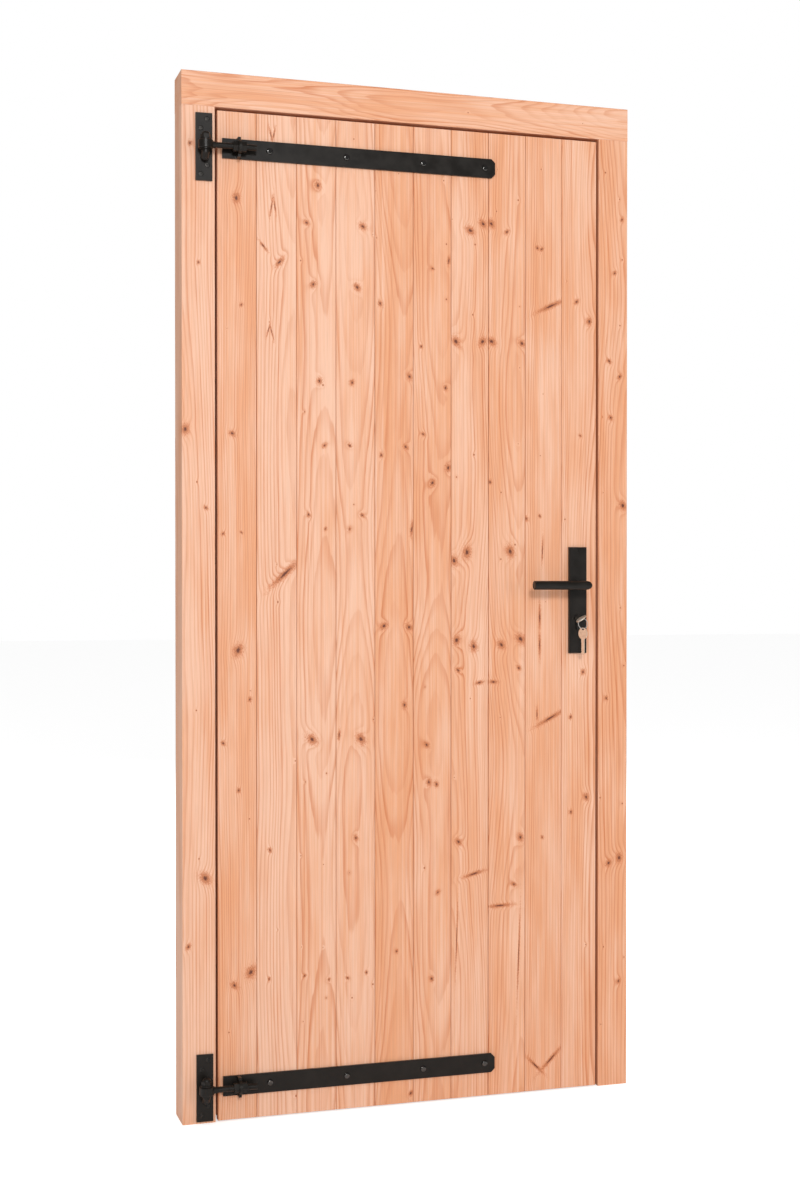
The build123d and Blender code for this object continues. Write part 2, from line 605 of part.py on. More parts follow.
def key_blank():
    """A flat key: a round bow with an oblong hole, and a blade notched along one edge."""
    half = KEY_THICKNESS / 2
    bow = Rot(0, 90, 0) * Cylinder(KEY_BOW_RADIUS, KEY_THICKNESS)
    hole_plane = Plane(origin=(0, -KEY_HOLE_OFFSET, 0), x_dir=(0, 0, 1), z_dir=(1, 0, 0))
    hole = extrude(hole_plane * SlotOverall(KEY_HOLE_LENGTH, KEY_HOLE_WIDTH), amount=KEY_THICKNESS, both=True)
    blade_start = KEY_BOW_RADIUS / 2
    blade_end = KEY_BOW_RADIUS + KEY_SHOULDER_GAP + KEY_BLADE_LENGTH
    blade = block(-half, half, blade_start, blade_end, -KEY_BLADE_WIDTH / 2, KEY_BLADE_WIDTH / 2)
    tip_edges = at_place(edges_along(blade, Axis.X), Axis.Y, blade_end)
    blade = chamfer(tip_edges, KEY_BLADE_WIDTH / 3)
    key = bow + blade - hole
    step = KEY_BLADE_LENGTH / (KEY_NOTCH_COUNT + 2)
    for i in range(KEY_NOTCH_COUNT):
        y = KEY_BOW_RADIUS + KEY_SHOULDER_GAP + step * (i + 1.5)
        notch = Box(2 * KEY_THICKNESS, KEY_NOTCH_DEPTH, KEY_NOTCH_DEPTH)
        key -= Pos(0, y, KEY_BLADE_WIDTH / 2) * Rot(45, 0, 0) * notch
    return key


def make_lock_key():
    """The key in the lock, turned so that its bow leans to the right."""
    return Pos(LOCK_X, KEY_BOW_Y, CYLINDER_Z) * Rot(0, KEY_TILT, 0) * key_blank()


def make_cylinder_plug():
    """The plug that turns with the key, with a slot for the blade."""
    plug = rod_y(PLUG_RADIUS, LOCK_X, CYLINDER_Z, CYLINDER_FRONT, CYLINDER_FRONT + PLUG_DEPTH)
    slot = block(-KEY_THICKNESS / 2, KEY_THICKNESS / 2, CYLINDER_FRONT, CYLINDER_FRONT + PLUG_DEPTH,
                 -KEY_BLADE_WIDTH / 2, KEY_BLADE_WIDTH / 2)
    return plug - Pos(LOCK_X, 0, CYLINDER_Z) * Rot(0, KEY_TILT, 0) * slot


def make_key_ring():
    """A split ring of flattened wire through the bow of the key in the lock."""
    wire = Pos(RING_RADIUS, 0) * Rectangle(2 * RING_WIRE_RADIUS, 2 * RING_WIRE_RADIUS)
    wire = chamfer(wire.vertices(), RING_WIRE_RADIUS / 2)
    ring = revolve(wire, Axis.Y)
    return Pos(LOCK_X, RING_Y, CYLINDER_Z - RING_RADIUS) * ring


def make_spare_key():
    """The second key, hanging blade down from the lowest point of the ring."""
    key = Rot(-90, 0, 0) * key_blank()
    drop = CYLINDER_Z - 2 * RING_RADIUS - SPARE_KEY_DROP - KEY_HOLE_OFFSET
    return Pos(LOCK_X, RING_Y, drop) * Rot(0, 0, SPARE_KEY_YAW) * key


def make_all():
    """Every sub-part by its node name."""
    parts = {
        "hinge_jamb": make_hinge_jamb(),
        "lock_jamb": make_lock_jamb(),
        "head_jamb": make_head_jamb(),
        "hinge_stop": make_side_stop(JAMB_FACE, JAMB_FACE + STOP_WIDTH),
        "lock_stop": make_side_stop(JAMB_INNER - STOP_WIDTH, JAMB_INNER),
        "head_stop": make_head_stop(),
        "strike_plate": make_strike_plate(),
        "upper_pintle": make_pintle(UPPER_HINGE_Z),
        "lower_pintle": make_pintle(LOWER_HINGE_Z),
        "pintle_nuts": [make_pintle_nut(UPPER_HINGE_Z), make_pintle_nut(LOWER_HINGE_Z)],
        "leaf_hinge_stile": make_leaf_hinge_stile(),
        "leaf_lock_stile": make_leaf_lock_stile(),
        "lower_brace": make_brace(BOTTOM_RAIL_TOP, MIDDLE_RAIL_BOTTOM),
        "upper_brace": make_brace(MIDDLE_RAIL_TOP, TOP_RAIL_BOTTOM),
        "upper_strap": make_strap(UPPER_HINGE_Z),
        "lower_strap": make_strap(LOWER_HINGE_Z),
        "upper_eye_bolt": make_eye_bolt(UPPER_HINGE_Z),
        "lower_eye_bolt": make_eye_bolt(LOWER_HINGE_Z),
        "strap_nuts": make_strap_nuts(),
        "outside_plate": make_handle_plate(OUTSIDE_PLATE_FACE, FRONT),
        "inside_plate": make_handle_plate(INSIDE_PLATE_FACE, LEAF_BACK),
        "outside_lever": make_lever(OUTSIDE_PLATE_FACE, -1),
        "inside_lever": make_lever(INSIDE_PLATE_FACE, 1),
        "lever_spindle": make_lever_spindle(),
        "lock_case": make_lock_case(),
        "lock_faceplate": make_lock_faceplate(),
        "lock_bolts": make_lock_bolts(),
        "lock_cylinder": make_lock_cylinder(),
        "cylinder_plug": make_cylinder_plug(),
        "lock_key": make_lock_key(),
        "key_ring": make_key_ring(),
        "spare_key": make_spare_key(),
    }
    for name, (bottom, top) in rail_levels().items():
        parts[name] = make_leaf_rail(bottom, top)
    for index in range(PLANK_COUNT):
        parts[f"plank_{index + 1:02d}"] = make_plank(index)
    return parts


def solids_of(shape):
    """The solids of one sub-part, as a list."""
    shapes = shape if isinstance(shape, list) else [shape]
    return [solid for each in shapes for solid in each.solids()]


def write_parts():
    os.makedirs("parts", exist_ok=True)
    for name, shape in make_all().items():
        solids = solids_of(shape)
        whole = solids[0] if len(solids) == 1 else Compound(children=solids)
        export_step(whole, f"parts/{name}.step")


write_parts()
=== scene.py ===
"""Dresses the plank door: its timber, ironwork, screws, bolts and keys, and a plain studio."""

import math

import bpy
from bpy.props import FloatProperty, FloatVectorProperty, IntProperty, PointerProperty
from mathutils import Matrix, Vector


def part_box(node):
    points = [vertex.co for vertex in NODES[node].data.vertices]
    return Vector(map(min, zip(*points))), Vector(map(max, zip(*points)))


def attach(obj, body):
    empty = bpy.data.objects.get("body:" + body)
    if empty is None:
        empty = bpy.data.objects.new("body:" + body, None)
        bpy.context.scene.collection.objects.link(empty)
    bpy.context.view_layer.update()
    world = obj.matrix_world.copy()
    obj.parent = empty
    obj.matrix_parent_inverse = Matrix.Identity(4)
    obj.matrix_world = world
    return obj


bl_info = {
    "name": "Plank door dressing",
    "version": (1, 0, 0),
    "blender": (4, 5, 0),
    "location": "View3D > Sidebar > Plank door",
    "description": "Gives a framed plank door its timber, ironwork and small fixings",
    "category": "Add Mesh",
}

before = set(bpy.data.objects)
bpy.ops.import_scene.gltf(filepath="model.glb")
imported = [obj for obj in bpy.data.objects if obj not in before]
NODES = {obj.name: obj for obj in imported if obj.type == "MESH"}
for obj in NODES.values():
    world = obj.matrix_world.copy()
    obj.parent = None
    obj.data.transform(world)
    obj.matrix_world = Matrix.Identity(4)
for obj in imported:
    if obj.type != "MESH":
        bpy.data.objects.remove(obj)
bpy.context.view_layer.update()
MM = 0.001

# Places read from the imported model
STRAP_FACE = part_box("plank_01")[0].y - 5 * MM
LEAF_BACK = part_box("leaf_top_rail")[1].y
TONGUE = 7 * MM
PLANKS = [f"plank_{i:02d}" for i in range(1, 11)]

# Where the fixings stand, in millimetres: along each strap from its left end, across and up from a
# pintle plate's middle, in from the ends of a long plate, and above and below each rail's middle
STRAP_HOLES = (97.5, 260.5, 427.5, 565.0)
PINTLE_HOLES = ((6.5, 56.0), (-6.5, 37.0), (6.5, -37.0), (-6.5, -56.0))
PLATE_SCREW_INSET = 8
RAIL_ROWS = {"leaf_top_rail": (32, -43), "leaf_middle_rail": (30, -30), "leaf_bottom_rail": (35, -35)}
THREAD_START = 86
THREAD_RADIUS = 5.95
WASHER_THICK = 1.4
NUT_THICK = 5.0

# How many screws hold each stile, and how many pins each upright stop and the head stop
STILE_SCREWS = 7
UPRIGHT_PINS = 6
HEAD_PINS = 4

# The studio: how bright the backdrop lights and is mirrored, and how much the floor adds
SKY_STRENGTH = 0.55
SKY_MIRRORED = 0.2
FLOOR_GLOW = 0.5

# Each light's name, place, what it points at, size in metres, watts, and whether it is mirrored
LIGHTS = (
    ("key_light", (-1.0, -8.1, 3.9), (0.5, 0, 1.1), 1.4, 335, True),
    ("side_light", (-4.6, -1.4, 1.7), (0, 0, 1.0), 2.0, 32, False),
    ("fill_light", (4.4, -4.6, 1.8), (0.5, 0, 1.0), 2.4, 50, False),
    ("back_light", (2.2, 5.2, 3.4), (0.5, 0, 1.0), 2.4, 150, True),
)
CAMERA_PLACE = (-0.5932, -3.4304, 1.0937)
CAMERA_TILT = 90 - 0.54
CAMERA_TURN = -17.26
CAMERA_LENS = 50.76

# How each plank is cut from its log: the heart's place across and behind the face and the
# growth of a ring, in millimetres, how much the figure wanders, how many pin knots show, and the tone
PLANK_FIGURES = (
    (-70, 60, 3.6, 0.7, 0.5, 0.70),
    (50, 95, 3.8, 0.7, 0.5, 0.05),
    (14, 105, 3.4, 0.8, 0.5, 0.25),
    (-8, 100, 3.2, 0.7, 0.7, 0.30),
    (6, 70, 4.0, 1.0, 0.5, 0.75),
    (9, 90, 3.4, 1.0, 0.4, 0.60),
    (-45, 85, 3.2, 0.8, 0.9, 0.45),
    (30, 80, 3.4, 0.9, 0.8, 0.60),
    (-85, 45, 3.2, 0.5, 0.7, 0.60),
    (55, 80, 3.4, 0.6, 0.5, 0.45),
)

# How dark the joint on the right of each plank looks
JOINTS = (0.34, 0.08, 0.12, 0.22, 0.2, 0.28, 0.38, 0.26, 0.08, 0.0)

# The larger knots, by timber: across the door and up from the floor, and the knot's radius, in
# millimetres. Spikes and cracks add how many times longer they are, and their lean in degrees.
KNOTS = {
    "hinge_jamb": ((17, 1983, 2.5), (34, 1744, 2), (7, 1407, 5), (49, 1249, 2.5), (47, 498, 6),
        (12, 361, 3)),
    "lock_jamb": ((950, 1772, 2.5), (967, 1889, 2.5), (937, 1580, 3), (962, 1547, 3), (941, 1457, 3),
        (970, 1266, 5), (931, 846, 2.5), (937, 486, 4), (962, 496, 5), (961, 226, 3)),
    "plank_01": ((112, 1879, 5), (122, 1663, 2), (103, 1401, 3.5), (84, 1197, 2), (122, 1200, 1.6),
        (139, 859, 2.5), (116, 674, 2.5), (84, 771, 2.5), (107, 276, 4), (141, 301, 6), (115, 960, 6)),
    "plank_02": ((213, 1116, 4.2, 6, 47), (181, 549, 2.5), (179, 284, 2), (185, 1866, 1.1, 12, 9),
        (192, 1868, 1.1, 11, -9), (184, 2012, 1.1, 9, -12), (190, 2013, 1.1, 9, 12),
        (179, 1616, 1.0, 10, 14), (185, 1612, 1.0, 11, -14), (202, 1754, 3.2, 2.6, 40),
        (168, 1785, 1.6, 5, -40)),
    "plank_03": ((273, 1712, 3.5), (259, 1838, 3), (283, 1916, 4), (286, 1514, 3.5), (297, 1381, 2.5),
        (263, 1238, 2.5), (299, 1209, 2), (270, 774, 5.5), (254, 286, 2), (306, 275, 2)),
    "plank_04": ((367, 1711, 4), (379, 1838, 4), (356, 1513, 3), (351, 1382, 2.5), (378, 1238, 2.5),
        (351, 1209, 2), (375, 772, 5.5), (328, 782, 1.8, 4, 5), (364, 566, 3), (346, 275, 2),
        (387, 284, 2)),
    "plank_05": ((417, 1680, 3), (481, 1530, 3.5), (419, 1364, 2.5), (473, 1382, 3), (425, 1007, 4),
        (480, 1004, 4), (470, 841, 3.5), (486, 1210, 2, 5, 8), (484, 22, 3), (453, 324, 2)),
    "plank_06": ((532, 1759, 2), (568, 1777, 2.2, 3, 5), (507, 1594, 2), (561, 1509, 3), (532, 1308, 4),
        (567, 1340, 4), (511, 1410, 2.5), (519, 756, 3.5), (524, 677, 3.5), (541, 672, 3),
        (544, 443, 2.5), (530, 261, 3)),
    "plank_07": ((616, 1844, 5), (645, 1860, 4.5), (584, 1608, 5), (644, 1610, 5), (609, 1162, 6),
        (580, 1144, 5), (586, 976, 5), (624, 962, 5), (589, 912, 3), (637, 885, 2.6, 2.4, 80),
        (590, 548, 4), (586, 340, 0.9, 55, 2), (625, 478, 2.6, 6, 75)),
    "plank_08": ((664, 1861, 4.5), (699, 1846, 3), (664, 1611, 5), (734, 1610, 4), (661, 1312, 2.5),
        (707, 1165, 6), (687, 965, 5), (731, 977, 6), (727, 915, 3), (669, 886, 2.6, 2.4, 95),
        (731, 551, 4), (727, 300, 1.2, 50, 2), (684, 407, 2.6, 7, 88), (716, 451, 3)),
    "plank_09": ((769, 1816, 2.5), (779, 1814, 2.5), (800, 1693, 3.2, 7, 65), (744, 1235, 2.5),
        (781, 1166, 1.2, 15, 2), (775, 1024, 1.8, 10, 0), (775, 965, 1.7, 10, 0), (769, 815, 1.4, 7, 0),
        (800, 806, 3.0, 8, 62), (775, 1241, 2), (781, 549, 2), (801, 68, 2.6, 9, 45),
        (766, 57, 2.2, 8, -45)),
    "plank_10": ((860, 1705, 3), (890, 1664, 4), (869, 1416, 2), (847, 807, 2.5), (876, 904, 3),
        (884, 632, 4), (848, 601, 2.5)),
}


# Small helpers


def deselect_all():
    """Leaves nothing selected and nothing active."""
    for thing in bpy.context.selected_objects:
        thing.select_set(False)
    bpy.context.view_layer.objects.active = None


def only(thing):
    """Selects one object and makes it the active one."""
    deselect_all()
    thing.select_set(True)
    bpy.context.view_layer.objects.active = thing


def settle(thing):
    """Puts an object's place into its mesh, so that the object sits at the origin."""
    only(thing)
    bpy.ops.object.transform_apply(location=True, rotation=True, scale=True)


def join_as(things, name):
    """Joins several meshes into one piece with a name."""
    deselect_all()
    for thing in things:
        thing.select_set(True)
    bpy.context.view_layer.objects.active = things[0]
    if len(things) > 1:
        bpy.ops.object.join()
    piece = bpy.context.view_layer.objects.active
    piece.name = name
    piece.data.name = name
    return piece


def copy_to(model, place, turn=None):
    """A copy of a small model with its own mesh, moved and turned into place."""
    copy = model.copy()
    copy.data = model.data.copy()
    bpy.context.scene.collection.objects.link(copy)
    matrix = Matrix.Translation(place)
    copy.data.transform(matrix @ turn if turn else matrix)
    return copy


def discard(model):
    """Removes a model that was only there to be copied."""
    bpy.data.objects.remove(model)


def select_faces(thing, wanted):
    """In edit mode, selects the faces for which wanted(face) is true."""
    bpy.ops.mesh.select_mode(type="FACE")
    bpy.ops.mesh.select_all(action="DESELECT")
    bpy.ops.object.mode_set(mode="OBJECT")
    for face in thing.data.polygons:
        face.select = wanted(face)
    bpy.ops.object.mode_set(mode="EDIT")


def select_edges(thing, wanted):
    """In edit mode, selects the edges for which wanted(a, b) is true of their two ends."""
    bpy.ops.mesh.select_mode(type="EDGE")
    bpy.ops.mesh.select_all(action="DESELECT")
    bpy.ops.object.mode_set(mode="OBJECT")
    points = thing.data.vertices
    for edge in thing.data.edges:
        a, b = (points[i].co for i in edge.vertices)
        edge.select = wanted(a, b)
    bpy.ops.object.mode_set(mode="EDIT")


# Shader nodes


class Shader:
    """Adds nodes to one node tree and links them."""

    def __init__(self, tree):
        self.tree = tree
        self.count = 0

    def node(self, kind, values=None, **settings):
        made = self.tree.nodes.new(kind)
        made.location = (220 * (self.count % 12), -260 * (self.count // 12))
        self.count += 1
        for name, setting in settings.items():
            setattr(made, name, setting)
        for name, value in (values or {}).items():
            self.put(made.inputs[name], value)
        return made

    def put(self, socket, value):
        if isinstance(value, bpy.types.NodeSocket):
            self.tree.links.new(value, socket)
        else:
            socket.default_value = value

    def math(self, operation, *values):
        made = self.node("ShaderNodeMath", operation=operation)
        for socket, value in zip(made.inputs, values):
            self.put(socket, value)
        return made.outputs[0]

    def vector(self, operation, *values):
        made = self.node("ShaderNodeVectorMath", operation=operation)
        for socket, value in zip(made.inputs, values):
            self.put(socket, value)
        return made.outputs[0]

    def split(self, vector):
        made = self.node("ShaderNodeSeparateXYZ", {"Vector": vector})
        return made.outputs["X"], made.outputs["Y"], made.outputs["Z"]

    def join(self, x, y, z):
        return self.node("ShaderNodeCombineXYZ", {"X": x, "Y": y, "Z": z}).outputs[0]

    def in_mm(self, vector):
        return self.vector("MULTIPLY", vector, (1000.0, 1000.0, 1000.0))

    def noise(self, vector, detail=2.0, roughness=0.5):
        made = self.node("ShaderNodeTexNoise", {"Vector": vector, "Scale": 1.0, "Detail": detail,
                                                "Roughness": roughness})
        return made.outputs[0], made.outputs[1]

    def stretched(self, vector, sizes, detail=2.0, roughness=0.5):
        """Noise whose lumps are about as large as the sizes."""
        return self.noise(self.vector("DIVIDE", vector, sizes), detail, roughness)

    def length(self, first, second):
        squares = (self.math("MULTIPLY", side, side) for side in (first, second))
        return self.math("SQRT", self.math("ADD", *squares))

    def wave(self, value, amount):
        """A noise value moved to swing about nought."""
        return self.math("MULTIPLY", self.math("SUBTRACT", value, 0.5), amount)

    def step(self, value, low, high, to_low=0.0, to_high=1.0):
        made = self.node("ShaderNodeMapRange", interpolation_type="SMOOTHSTEP")
        for name, number in (("Value", value), ("From Min", low), ("From Max", high),
                             ("To Min", to_low), ("To Max", to_high)):
            self.put(made.inputs[name], number)
        return made.outputs[0]

    def mix(self, factor, first, second, blend="MIX"):
        made = self.node("ShaderNodeMix", data_type="RGBA", blend_type=blend)
        self.put(made.inputs[0], factor)
        self.put(made.inputs[6], first)
        self.put(made.inputs[7], second)
        return made.outputs[2]


def new_group(name, inputs, outputs):
    """A shader node group with named sockets. Gives its tree, its Shader and its two end nodes."""
    tree = bpy.data.node_groups.new(name, "ShaderNodeTree")
    for label, kind, value in inputs:
        socket = tree.interface.new_socket(name=label, in_out="INPUT", socket_type=kind)
        if value is not None:
            socket.default_value = value
    for label, kind in outputs:
        tree.interface.new_socket(name=label, in_out="OUTPUT", socket_type=kind)
    shader = Shader(tree)
    return tree, shader, shader.node("NodeGroupInput"), shader.node("NodeGroupOutput")


def fir_group():
    """Fir as a solid: rings round a wandering heart, fibres, knots with their grain, and resin."""
    colour, number = "NodeSocketColor", "NodeSocketFloat"
    tree, s, given, result = new_group(
        "Fir figure",
        [("Vector", "NodeSocketVector", None), ("Seed", number, 0.0), ("Heart Side", number, 0.0),
         ("Heart Depth", number, 60.0), ("Ring", number, 3.6), ("Wander", number, 1.0),
         ("Knots", number, 0.6), ("Tone", number, 0.5), ("Knot Near", number, 9.0),
         ("Knot Lift", number, 0.0), ("Half Width", number, 1000.0), ("Left Joint", number, 0.2),
         ("Right Joint", number, 0.2),
         ("Pale", colour, (0.9, 0.5, 0.32, 1)), ("Warm", colour, (0.85, 0.42, 0.24, 1)),
         ("Late", colour, (0.66, 0.25, 0.11, 1)), ("Knot", colour, (0.16, 0.045, 0.02, 1))],
        [("Color", colour), ("Height", number), ("Roughness", number)])
    seed = given.outputs["Seed"]
    place = s.in_mm(given.outputs["Vector"])
    x, y, z = s.split(place)
    shift = s.join(*(s.math("MULTIPLY", seed, far) for far in (517.3, 213.7, 871.1)))
    q = s.vector("ADD", place, shift)

    # The heart wanders along the log, and the rings wobble about it
    sway = s.stretched(q, (420.0, 420.0, 760.0), 1.0)[1]
    sway_x, sway_y, sway_z = s.split(s.vector("MULTIPLY", s.vector("SUBTRACT", sway, (0.5, 0.5, 0.5)),
                                              (70.0, 50.0, 34.0)))
    wobble = s.stretched(q, (30.0, 30.0, 330.0), 2.0, 0.5)[0]
    fine = s.stretched(q, (6.0, 6.0, 70.0), 1.0)[0]
    wander = given.outputs["Wander"]
    from_x = s.math("SUBTRACT", x, given.outputs["Heart Side"])
    from_x = s.math("ADD", from_x, s.math("MULTIPLY", sway_x, wander))
    from_y = s.math("SUBTRACT", y, given.outputs["Heart Depth"])
    from_y = s.math("ADD", from_y, s.math("MULTIPLY", sway_y, wander))
    radius = s.length(from_x, from_y)
    radius = s.math("ADD", radius, s.math("MULTIPLY", sway_z, wander))
    radius = s.math("ADD", radius, s.wave(wobble, s.math("MULTIPLY", wander, 4.5)))
    radius = s.math("ADD", radius, s.wave(fine, 0.7))

    # The grain bends round the larger knots and the scattered pin knots
    ragged = s.stretched(q, (1.6, 1.6, 3.0), 1.0)[0]
    knot = s.math("MULTIPLY", given.outputs["Knot Near"], s.step(ragged, 0.1, 0.9, 0.55, 1.45))
    radius = s.math("ADD", radius, given.outputs["Knot Lift"])
    pin = pin_knots(s, x, z, seed, given.outputs["Knots"])
    fade = s.math("EXPONENT", s.math("MULTIPLY", s.math("POWER", s.math("DIVIDE", pin[0], 4.0), 2.0), -1.0))
    radius = s.math("ADD", radius, s.math("MULTIPLY", s.math("MULTIPLY", fade, pin[1]), 1.8))

    # Early wood darkens slowly to late wood and starts again at once
    turns = s.math("DIVIDE", radius, given.outputs["Ring"])
    years = s.noise(s.join(s.math("DIVIDE", radius, 26.0), seed, 0.0), 1.0)[0]
    turns = s.math("ADD", turns, s.math("MULTIPLY", years, 3.0))
    phase = s.math("FRACT", turns)
    each = s.node("ShaderNodeTexWhiteNoise", {"Vector": s.join(s.math("FLOOR", turns), seed, 0.0)},
                  noise_dimensions="2D").outputs["Value"]
    late = s.math("MULTIPLY", s.step(phase, 0.42, 0.90), s.step(phase, 0.92, 1.0, 1.0, 0.0))
    late = s.math("MULTIPLY", late, s.math("ADD", s.math("MULTIPLY", each, 0.75), 0.25))
    slope = s.math("DIVIDE", s.math("ABSOLUTE", from_x), radius)
    late = s.math("MULTIPLY", late, s.step(slope, 0.0, 0.3, 0.45, 1.0))

    # Fibres, streaks, slow changes of tone and the shade in the joints
    fibre = s.stretched(q, (0.9, 0.9, 55.0), 2.0, 0.6)[0]
    band = s.stretched(q, (4.0, 4.0, 420.0), 2.0, 0.6)[0]
    streak = s.stretched(q, (2.0, 2.0, 700.0), 1.0, 0.5)[0]
    cloud = s.stretched(q, (45.0, 45.0, 260.0), 2.0, 0.55)[0]
    tone = s.math("ADD", given.outputs["Tone"], s.wave(cloud, 2.0))
    tone = s.math("ADD", tone, s.wave(band, 2.0))
    base = s.mix(s.step(tone, -0.2, 1.2), given.outputs["Pale"], given.outputs["Warm"])
    strength = s.math("MULTIPLY", late, s.step(cloud, 0.25, 0.7, 0.55, 1.0))
    strength = s.math("ADD", strength, s.step(streak, 0.56, 0.78, 0.0, 0.5))
    wood = s.mix(s.math("MINIMUM", s.math("MULTIPLY", strength, 0.95), 1.0), base, given.outputs["Late"])
    shade = s.step(fibre, 0.2, 0.8, 0.93, 1.05)
    wood = s.mix(1.0, wood, s.join(shade, shade, shade), "MULTIPLY")
    for near, there, halo in ((knot, 1.0, 2.6), (pin[0], pin[1], 1.8)):
        glow = s.math("MULTIPLY", s.step(near, 0.8, halo, 0.9, 0.0), there)
        wood = s.mix(glow, wood, given.outputs["Late"])
        heart = s.math("MULTIPLY", s.step(near, 0.25, 0.95, 1.0, 0.0), there)
        wood = s.mix(heart, wood, given.outputs["Knot"])
    bark = s.step(s.math("ABSOLUTE", s.math("SUBTRACT", knot, 1.1)), 0.0, 0.24, 0.35, 0.0)
    wood = s.mix(bark, wood, given.outputs["Knot"])
    edge = s.math("SUBTRACT", given.outputs["Half Width"], s.math("ABSOLUTE", x))
    worst = s.step(x, -1.0, 1.0, given.outputs["Left Joint"], given.outputs["Right Joint"])
    joint = s.math("SUBTRACT", 1.0, s.math("MULTIPLY", s.step(edge, -0.3, 1.1, 1.0, 0.0), worst))
    joint = s.join(joint, s.math("POWER", joint, 1.8), s.math("POWER", joint, 2.4))
    wood = s.mix(1.0, wood, joint, "MULTIPLY")

    height = s.math("ADD", s.math("MULTIPLY", late, -0.35), s.math("MULTIPLY", fibre, 0.8))
    height = s.math("ADD", height, s.step(knot, 0.3, 1.1, -0.8, 0.0))
    rough = s.math("ADD", s.math("MULTIPLY", fibre, 0.12), 0.50)
    rough = s.math("ADD", s.math("MULTIPLY", late, -0.08), rough)
    s.put(result.inputs["Color"], wood)
    s.put(result.inputs["Height"], height)
    s.put(result.inputs["Roughness"], rough)
    return tree


def pin_knots(s, x, z, seed, amount):
    """How far a point is from the pin knot in its cell, in knot radii, and whether that cell has one."""
    u = s.math("ADD", s.math("DIVIDE", x, 46.0), s.math("MULTIPLY", seed, 4.8))
    v = s.math("ADD", s.math("DIVIDE", z, 150.0), s.math("MULTIPLY", seed, 6.0))
    made = s.node("ShaderNodeTexVoronoi", {"Vector": s.join(u, v, 0.0), "Scale": 1.0, "Randomness": 0.85},
                  voronoi_dimensions="2D")
    centre_u, centre_v, _ = s.split(made.outputs["Position"])
    pick, size, _ = s.split(made.outputs["Color"])
    across = s.math("MULTIPLY", s.math("SUBTRACT", u, centre_u), 46.0)
    along = s.math("MULTIPLY", s.math("SUBTRACT", v, centre_v), 125.0)
    apart = s.length(across, along)
    there = s.math("LESS_THAN", pick, s.math("MULTIPLY", amount, 0.5))
    return s.math("DIVIDE", apart, s.step(size, 0.0, 1.0, 0.7, 1.6)), there


def knot_group():
    """One knot, spike or crack at its own place. Several are chained, each adding to the last."""
    number = "NodeSocketFloat"
    tree, s, given, result = new_group(
        "Placed knot",
        [("Vector", "NodeSocketVector", None), ("Across", number, 0.0), ("Along", number, 0.0),
         ("Radius", number, 3.0), ("Stretch", number, 1.25), ("Lean", number, 0.0), ("Front", number, 9.0),
         ("Knot Near", number, 9.0), ("Knot Lift", number, 0.0)],
        [("Knot Near", number), ("Knot Lift", number)])
    x, y, z = s.split(s.in_mm(given.outputs["Vector"]))
    x = s.math("SUBTRACT", x, given.outputs["Across"])
    z = s.math("SUBTRACT", z, given.outputs["Along"])
    cosine, sine = s.math("COSINE", given.outputs["Lean"]), s.math("SINE", given.outputs["Lean"])
    along = s.math("ADD", s.math("MULTIPLY", z, cosine), s.math("MULTIPLY", x, sine))
    across = s.math("SUBTRACT", s.math("MULTIPLY", x, cosine), s.math("MULTIPLY", z, sine))
    along = s.math("DIVIDE", along, given.outputs["Stretch"])
    apart = s.length(across, along)
    near = s.math("DIVIDE", apart, given.outputs["Radius"])

    # A knot dies out behind the face of its timber
    depth = s.math("MAXIMUM", s.math("ADD", y, given.outputs["Front"]), 0.0)
    near = s.math("ADD", near, s.math("MULTIPLY", depth, 0.035))

    fade = s.math("EXPONENT", s.math("MULTIPLY", s.math("POWER", s.math("DIVIDE", near, 3.0), 2.0), -1.0))
    lift = s.math("MULTIPLY", fade, s.math("MULTIPLY", given.outputs["Radius"], 1.2))
    s.put(result.inputs["Knot Near"], s.math("MINIMUM", near, given.outputs["Knot Near"]))
    s.put(result.inputs["Knot Lift"], s.math("ADD", lift, given.outputs["Knot Lift"]))
    return tree


def coat_group():
    """The fine orange peel, dust and worn bloom of powder coating."""
    colour, number = "NodeSocketColor", "NodeSocketFloat"
    tree, s, given, result = new_group(
        "Powder coat",
        [("Vector", "NodeSocketVector", None), ("Black", colour, (0.0075, 0.0056, 0.0040, 1)),
         ("Bloom", colour, (0.0125, 0.0095, 0.0070, 1))],
        [("Color", colour), ("Height", number), ("Roughness", number)])
    place = s.in_mm(given.outputs["Vector"])
    peel = s.stretched(place, (1.1, 1.1, 1.1), 2.0)[0]
    patch = s.stretched(place, (28.0, 28.0, 28.0), 3.0, 0.6)[0]
    coat = s.mix(s.step(patch, 0.35, 0.75), given.outputs["Black"], given.outputs["Bloom"])
    s.put(result.inputs["Color"], coat)
    s.put(result.inputs["Height"], peel)
    s.put(result.inputs["Roughness"], s.math("ADD", s.step(patch, 0.3, 0.7, 0.30, 0.44),
                                             s.math("MULTIPLY", peel, 0.06)))
    return tree


